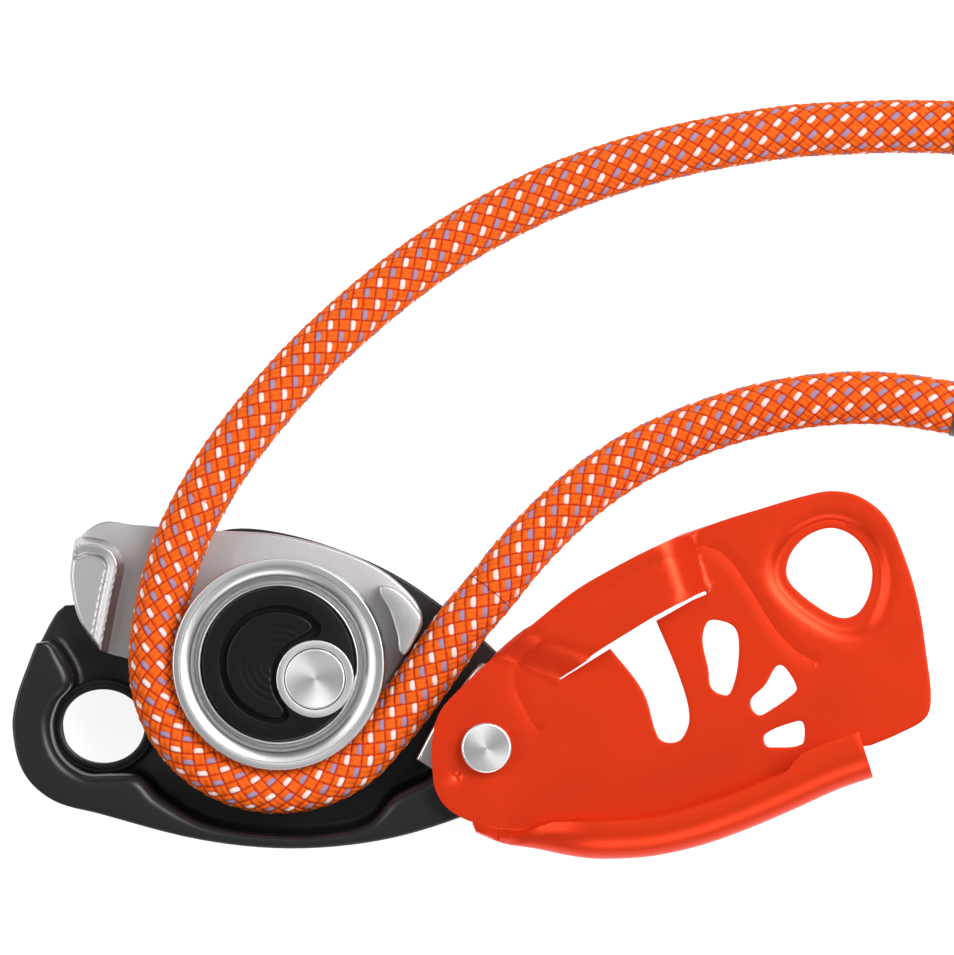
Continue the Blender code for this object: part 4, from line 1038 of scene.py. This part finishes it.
def handle_lever():
    bottom, top = low_level("handle_lever"), high_level("handle_lever")
    arm = smooth_loop([
        (6.0, 8.6, 0), (18.0, 6.4), (30.0, 5.2), (38.0, 5.8), (44.6, 5.4), (48.6, 0.0),
        (44.6, -5.4), (38.0, -5.8), (30.0, -5.2), (18.0, -6.4), (6.0, -8.6, 0),
    ])
    turn = math.radians(-20.0)
    spin = np.array([[math.cos(turn), math.sin(turn)], [-math.sin(turn), math.cos(turn)]])
    arm_slab = slab(
        "handle_arm", CAM_AXIS, [arm @ spin], rounded(bottom, top - 1.4, 1.4, 1.4, 6), HANDLE_BLACK,
    )
    web_top = bottom + 2.8
    hub_profile = [
        (12.5, top), *arc(13.6, top - 0.4, 0.4, 90, 0), *arc(13.2, bottom + 0.8, 0.8, 0, -90),
        (5.6, bottom), (5.6, web_top), (12.5, web_top),
    ]
    hub = turned("handle_hub", CAM_AXIS, hub_profile, HANDLE_BLACK, closed=True)
    core_profile = [(0.0, 40.0), (12.0, 40.0), (12.0, -40.0), (0.0, -40.0)]
    cut(arm_slab, turned("handle_core_cutter", CAM_AXIS, core_profile, HANDLE_BLACK, steps=64))
    lever = join("handle_grip", [hub, arm_slab])
    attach(lever, "handle")
    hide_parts("handle_lever")


# ---------------------------------------------------------------- rope

# The route of the rope's middle, as in the CAD: (x, y, height), in plan from the cam axle
CLIMBER_STRAND = [
    (119.0, 98.4, 4.9), (104.0, 98.7, 4.9), (95.1, 98.4, 4.9), (86.2, 97.9, 4.9),
    (77.3, 96.7, 4.9), (68.4, 95.1, 4.9), (59.5, 93.0, 4.9), (50.6, 90.3, 4.9),
    (41.7, 86.9, 5.0), (32.8, 82.6, 5.6), (23.9, 77.5, 6.8), (15.4, 71.5, 8.6),
    (6.6, 64.2, 11.0), (-1.6, 56.4, 13.8), (-9.0, 48.0, 16.6), (-15.6, 39.4, 18.6),
]
WRAP_IN = [(-20.4, 31.5, 19.3), (-24.1, 23.8, 19.5), (-26.6, 16.0, 19.5), (-28.0, 9.0, 19.5)]
WRAP_OUT = [(16.9, -3.5, 19.5), (22.6, 4.6, 19.5), (26.6, 10.2, 19.4), (30.9, 15.2, 19.0)]
BRAKE_STRAND = [
    (36.4, 22.0, 17.6), (42.3, 28.2, 15.2), (49.0, 34.0, 12.2), (56.4, 38.9, 9.3),
    (64.4, 42.8, 6.9), (73.0, 46.0, 5.4), (81.6, 48.3, 4.9), (90.0, 49.6, 4.9),
    (99.0, 50.0, 4.9), (108.0, 49.2, 4.9), (119.0, 47.2, 4.9),
]
ROPE_TURN_RADIUS = 22.0
ROUTE_STEPS = 24
WRAP_ANGLES = (178.0, 321.0)
WHIPPING_LENGTH = 3.0
WHIPPING_INSET = 3.5
MELT_LENGTH = 1.8

# The braid: strands of two yarns go over one and under one, ten each way round the rope
STRANDS = 10
BRAID_PITCH = 3.0
CELLS = 8
CORE_RADIUS = 4.42
YARN_RELIEF = 0.42
YARN_ORANGE = (0.84, 0.125, 0.005)
YARN_WHITE = (0.93, 0.74, 0.7)
YARN_LILAC = (0.35, 0.26, 0.4)
# Painted shade in the crevices between yarns: a dark red that also paints the orange light bounced
# between them. The yarns' colours fade to it where the sheath sinks.
CREVICE_SHADE = (0.5, 0.022, 0.002)
# How high the cleft between a strand's two yarns stands, and how fully each yarn is rounded
CLEFT_HEIGHT = 0.4
YARN_FULLNESS = 0.55
# How soon a yarn's colour takes over from the painted crevice shade as the sheath rises
YARN_COLOUR_RISE = 2.4
FIBRES_ACROSS = 22.0
FIBRES_ALONG = 2.5


def rope_route():
    """Closely spaced points along the whole rope, and where its three stretches meet."""
    wrap = [
        (WHEEL_OFFSET.x + ROPE_TURN_RADIUS * math.cos(t),
         WHEEL_OFFSET.y + ROPE_TURN_RADIUS * math.sin(t), WRAP_OUT[0][2])
        for t in np.radians(np.linspace(*WRAP_ANGLES, 13))
    ]
    route = np.array(CLIMBER_STRAND + WRAP_IN + wrap + WRAP_OUT + BRAKE_STRAND)
    route[:, 0] += CAM_AXIS.x
    route[:, 1] += CAM_AXIS.y
    dense = smooth_line(route, [False] * len(route), ROUTE_STEPS, closed=False)
    steps = np.linalg.norm(np.diff(dense, axis=0), axis=1)
    lengths = np.concatenate([[0.0], np.cumsum(steps)])
    wrap_first = lengths[len(CLIMBER_STRAND) * ROUTE_STEPS]
    wrap_last = lengths[(len(route) - len(BRAKE_STRAND) - 1) * ROUTE_STEPS]
    return dense, lengths, wrap_first, wrap_last


def braid_height(p, q):
    """How high the sheath stands at strand coordinates, from 0 in a crevice to 1 on a yarn."""
    over = (np.floor(p).astype(int) + np.floor(q).astype(int)) % 2 == 0
    across = np.where(over, p, q) % 1.0
    along = np.where(over, q, p) % 1.0
    in_yarn = (across * 2.0) % 1.0
    bulge = np.sqrt(np.clip(1.0 - (2.0 * in_yarn - 1.0) ** 2, 0.0, 1.0))
    bulge = np.where(np.abs(across - 0.5) < 1e-6, CLEFT_HEIGHT, bulge)
    return bulge * np.sin(np.pi * along) ** YARN_FULLNESS


def across_rope(places, dense, lengths):
    """The rope's centres at these lengths, and two directions across it at each."""
    def centres_at(shift):
        columns = [np.interp(places + shift, lengths, dense[:, k]) for k in range(3)]
        return np.stack(columns, axis=1)

    ahead = centres_at(0.4) - centres_at(-0.4)
    ahead /= np.linalg.norm(ahead, axis=1)[:, None]
    left = np.cross(np.array([0.0, 0.0, 1.0]), ahead)
    left /= np.linalg.norm(left, axis=1)[:, None]
    return centres_at(0.0), left, np.cross(ahead, left)


def diamond_colour(cell_p, cell_q, over):
    """White or grey-lilac for one yarn of each strand that goes one way, where it is on top."""
    strand, across = divmod(cell_p, CELLS)
    at_corner = cell_q % CELLS in (0, CELLS - 1) and across in (0, CELLS // 2 - 1)
    if not over or across >= CELLS // 2 or at_corner:
        return YARN_ORANGE
    return YARN_WHITE if strand % 2 else YARN_LILAC


def braid_faces(p, q, rings):
    """The stretch's faces, the colour of each, and where the strand on top runs along q."""
    columns = STRANDS * CELLS
    faces = []
    colours = []
    overs = []
    for k in range(len(rings) - 2):
        odd = rings[k] % 2
        low, middle, high = k * columns, (k + 1) * columns, (k + 2) * columns
        for m in range(columns):
            right = m if odd else (m - 1) % columns
            beside = (m + 1) % columns if odd else m
            faces.append((low + m, middle + beside, high + m, middle + right))
            cell_p = int(round(p[k, m] * CELLS)) - 1
            cell_q = int(round(q[k, m] * CELLS))
            over = (cell_p // CELLS + cell_q // CELLS) % 2 == 0
            colours.append(diamond_colour(cell_p, cell_q, over))
            overs.append(over)
    for ring, neighbour in ((0, 1), (len(rings) - 1, len(rings) - 2)):
        cap = [ring * columns + m for m in range(columns)]
        for m in range(columns):
            beside = (m + 1) % columns
            tip = neighbour * columns + (beside if rings[ring] % 2 else m)
            corners = (cap[m], cap[beside], tip)
            faces.append(corners if ring else corners[::-1])
            colours.append(YARN_ORANGE)
        # The flat cap at each end is coloured with the painted crevice shade
        faces.append(cap if ring else cap[::-1])
        colours.append(CREVICE_SHADE)
        overs.extend([True] * (columns + 1))
    return faces, colours, overs


def paint_braid(mesh, unshaded_share, p, q, face_sizes, colours, overs):
    """Writes each corner's colour, with painted shade where the sheath sinks into a crevice, and where
    it lies along and across its yarn's fibres.
    """
    points = np.empty(len(mesh.loops), int)
    mesh.loops.foreach_get("vertex_index", points)
    base = np.repeat(np.array(colours), face_sizes, axis=0)
    share = unshaded_share.ravel()[points][:, None]
    # Painted shade: the yarn's colour fades to the crevice shade as the corner sinks
    tint = np.array(CREVICE_SHADE) * (1 - share) + base * share
    layer = mesh.color_attributes.new("yarn", "FLOAT_COLOR", "CORNER")
    layer.data.foreach_set("color", np.concatenate([tint, np.ones((len(tint), 1))], axis=1).ravel())
    over = np.repeat(np.array(overs), face_sizes)
    corner_p, corner_q = p.ravel()[points], q.ravel()[points]
    across = np.where(over, corner_p, corner_q) * FIBRES_ACROSS
    along = np.where(over, corner_q, corner_p) * FIBRES_ALONG
    fibres = mesh.uv_layers.new(name="fibres")
    fibres.data.foreach_set("uv", np.stack([across, along], axis=1).ravel())


def braided_stretch(name, dense, lengths, first, last, sealed):
    """A stretch of rope between two lengths. sealed is 1 or -1 for a melted end, or 0."""
    ring_step = BRAID_PITCH / (2 * CELLS)
    rings = np.arange(round(first / ring_step), round(last / ring_step) + 1)
    places = np.clip(rings * ring_step, first, last)
    centres, left, up = across_rope(places, dense, lengths)
    # Each second ring is shifted by half a cell, and every point lies on a corner of the cells
    around = (2 * np.arange(STRANDS * CELLS)[None, :] + (rings[:, None] % 2)) / (2.0 * CELLS)
    along = rings[:, None] / (2.0 * CELLS)
    p = np.round((around - along) * CELLS) / CELLS
    q = np.round((around + along) * CELLS) / CELLS
    radius = CORE_RADIUS + YARN_RELIEF * braid_height(p, q)
    if sealed:
        from_end = (last - places) if sealed > 0 else (places - first)
        closeness = np.clip(1 - from_end / MELT_LENGTH, 0, 1)
        radius *= np.sqrt(np.clip(1 - closeness ** 2, 0.02, 1))[:, None]
    turn = 2 * math.pi * around / STRANDS
    spokes = np.cos(turn)[..., None] * up[:, None] + np.sin(turn)[..., None] * left[:, None]
    points = (centres[:, None, :] + radius[..., None] * spokes).reshape(-1, 3)
    faces, colours, overs = braid_faces(p, q, rings)
    piece = new_object(name, points, faces, BRAID, sharp=80.0)
    # How far each point stands out of the crevices, which sets how little painted shade it gets
    unshaded_share = np.clip((radius - CORE_RADIUS) / YARN_RELIEF * YARN_COLOUR_RISE, 0.0, 1.0)
    paint_braid(piece.data, unshaded_share, p, q, [len(face) for face in faces], colours, overs)
    return piece, centres * MM


def whipping(name, centre, ahead):
    """A dark sleeve round a sealed end of the rope."""
    reach = WHIPPING_LENGTH / 2
    profile = [
        *arc(4.8, reach - 0.2, 0.2, 90, 0, 3), *arc(4.8, 0.2 - reach, 0.2, 0, -90, 3),
        (4.2, -reach), (4.2, reach),
    ]
    band = turned(name, (0.0, 0.0), profile, WHIPPING, closed=True, steps=64)
    band.rotation_mode = "QUATERNION"
    band.rotation_quaternion = Vector(ahead).to_track_quat("Z", "Y")
    band.location = Vector(centre)
    return band


def rope():
    dense, lengths, wrap_first, wrap_last = rope_route()
    total = lengths[-1]
    wrap, _ = braided_stretch("rope_round_wheel", dense, lengths, wrap_first, wrap_last, 0)
    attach(wrap, "body")
    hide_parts("rope_wrap")
    for name, cad, first, last, sealed in (
        ("rope_to_climber", "rope_climber_strand", 0.0, wrap_first, -1),
        ("rope_to_brake_hand", "rope_brake_strand", wrap_last, total, 1),
    ):
        strand, centres = braided_stretch(name, dense, lengths, first, last, sealed)
        ends = centres if sealed > 0 else centres[::-1]
        inset = round(WHIPPING_INSET / (BRAID_PITCH / (2 * CELLS)))
        band = whipping(f"{name}_end", ends[-inset], ends[-inset] - ends[-inset - 2])
        for piece in (strand, band):
            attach(piece, "body")
        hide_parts(cad)


# ---------------------------------------------------------------- CAD pieces that keep their shape

def dress_cad_nodes():
    looks = {
        "friction_plate_screw": PLAIN_STEEL, "hinge_back_washer": PLAIN_STEEL, "hinge_bush": BRONZE,
        "hinge_washer": NYLON, "cam_axle_nut": PLAIN_STEEL, "cam_bush": BRONZE, "cam_hub": GREY_ALLOY,
        "cam_hub_screw": PLAIN_STEEL, "bearing_inner_race": BEARING_STEEL,
        "bearing_outer_race": BEARING_STEEL, "bearing_cage": NYLON, "bearing_ball": BEARING_STEEL,
        "handle_drive_plate": PLAIN_STEEL, "handle_drive_pin": PLAIN_STEEL,
        "cam_return_spring": SPRING_STEEL, "handle_return_spring": SPRING_STEEL,
    }
    for name, cad in frame["nodes"].items():
        fitting = [key for key in looks if name.startswith(key)]
        if fitting:
            look = looks[max(fitting, key=len)]
            cad.data.materials.clear()
            cad.data.materials.append(look)


# ---------------------------------------------------------------- studio

# What the camera sees, in millimetres of the plane through the device's middle
VIEW_CENTRE = (1.04, 34.7)
VIEW_WIDTH = 169.8
VIEW_LEVEL = 20.0
CAMERA_DISTANCE = 1600.0
LIGHT_AIM = Vector((0.0, 30.0, 10.0))
FLOOR_REACH = 6000.0
FLOOR_LEVEL = -0.05


def camera():
    data = bpy.data.cameras.new("camera")
    data.sensor_width = 36.0
    data.lens = data.sensor_width * CAMERA_DISTANCE / VIEW_WIDTH
    data.clip_end = 20.0
    eye = bpy.data.objects.new("camera", data)
    eye.location = (VIEW_CENTRE[0] * MM, VIEW_CENTRE[1] * MM, (VIEW_LEVEL + CAMERA_DISTANCE) * MM)
    bpy.context.scene.collection.objects.link(eye)
    bpy.context.scene.camera = eye


def area_light(name, place, size, power):
    """A rectangular light that points at the device: place and size in mm, power in watts."""
    data = bpy.data.lights.new(name, "AREA")
    data.shape = "RECTANGLE"
    data.size, data.size_y = size[0] * MM, size[1] * MM
    data.energy = power
    lamp = bpy.data.objects.new(name, data)
    lamp.location = Vector(place) * MM
    lamp.rotation_euler = (LIGHT_AIM - Vector(place)).to_track_quat("-Z", "Y").to_euler()
    bpy.context.scene.collection.objects.link(lamp)


def studio():
    floor_look = new_look("floor", (0.35, 0.35, 0.35), 0.9)
    shader_of(floor_look).inputs["Emission Color"].default_value = (1.0, 1.0, 1.0, 1.0)
    shader_of(floor_look).inputs["Emission Strength"].default_value = 0.88
    corners = [
        (x * FLOOR_REACH, y * FLOOR_REACH, FLOOR_LEVEL) for x, y in ((-1, -1), (1, -1), (1, 1), (-1, 1))
    ]
    floor = new_object("floor", corners, [(0, 1, 2, 3)], floor_look)

    area_light("key", (560.0, 380.0, 800.0), (700.0, 600.0), 10.5)
    area_light("fill", (-650.0, 150.0, 650.0), (700.0, 500.0), 3.8)
    area_light("front", (150.0, -700.0, 500.0), (800.0, 300.0), 2.2)

    world = bpy.data.worlds.new("studio")
    world.use_nodes = True
    bpy.context.scene.world = world
    nodes, links = world.node_tree.nodes, world.node_tree.links
    place = nodes.new("ShaderNodeTexCoord")
    split = nodes.new("ShaderNodeSeparateXYZ")
    ramp = nodes.new("ShaderNodeValToRGB")
    # Brightness of the room by height, from straight down to straight up
    bands = [
        (0.0, 0.6), (0.5, 0.5), (0.62, 0.7), (0.75, 0.22), (0.88, 0.5), (0.96, 0.62), (1.0, 0.55),
    ]
    ramp.color_ramp.elements[0].position = bands[0][0]
    ramp.color_ramp.elements[1].position = bands[-1][0]
    for position, _ in bands[1:-1]:
        ramp.color_ramp.elements.new(position)
    for element, (_, brightness) in zip(ramp.color_ramp.elements, bands):
        element.color = (brightness, brightness, brightness, 1.0)
    height = nodes.new("ShaderNodeMapRange")
    height.inputs["From Min"].default_value = -1.0
    links.new(place.outputs["Generated"], split.inputs["Vector"])
    links.new(split.outputs["Z"], height.inputs["Value"])
    links.new(height.outputs["Result"], ramp.inputs["Fac"])
    links.new(ramp.outputs["Color"], nodes["Background"].inputs["Color"])
    nodes["Background"].inputs["Strength"].default_value = 0.4
    bpy.context.scene.view_settings.view_transform = "Standard"


camera()
rope()
fixed_side_plate()
friction_plate()
cam_plate()
hub_cover()
cam_axle()
rope_wheel()
hinge_rivet()
moving_side_plate()
handle_lever()
dress_cad_nodes()
studio()
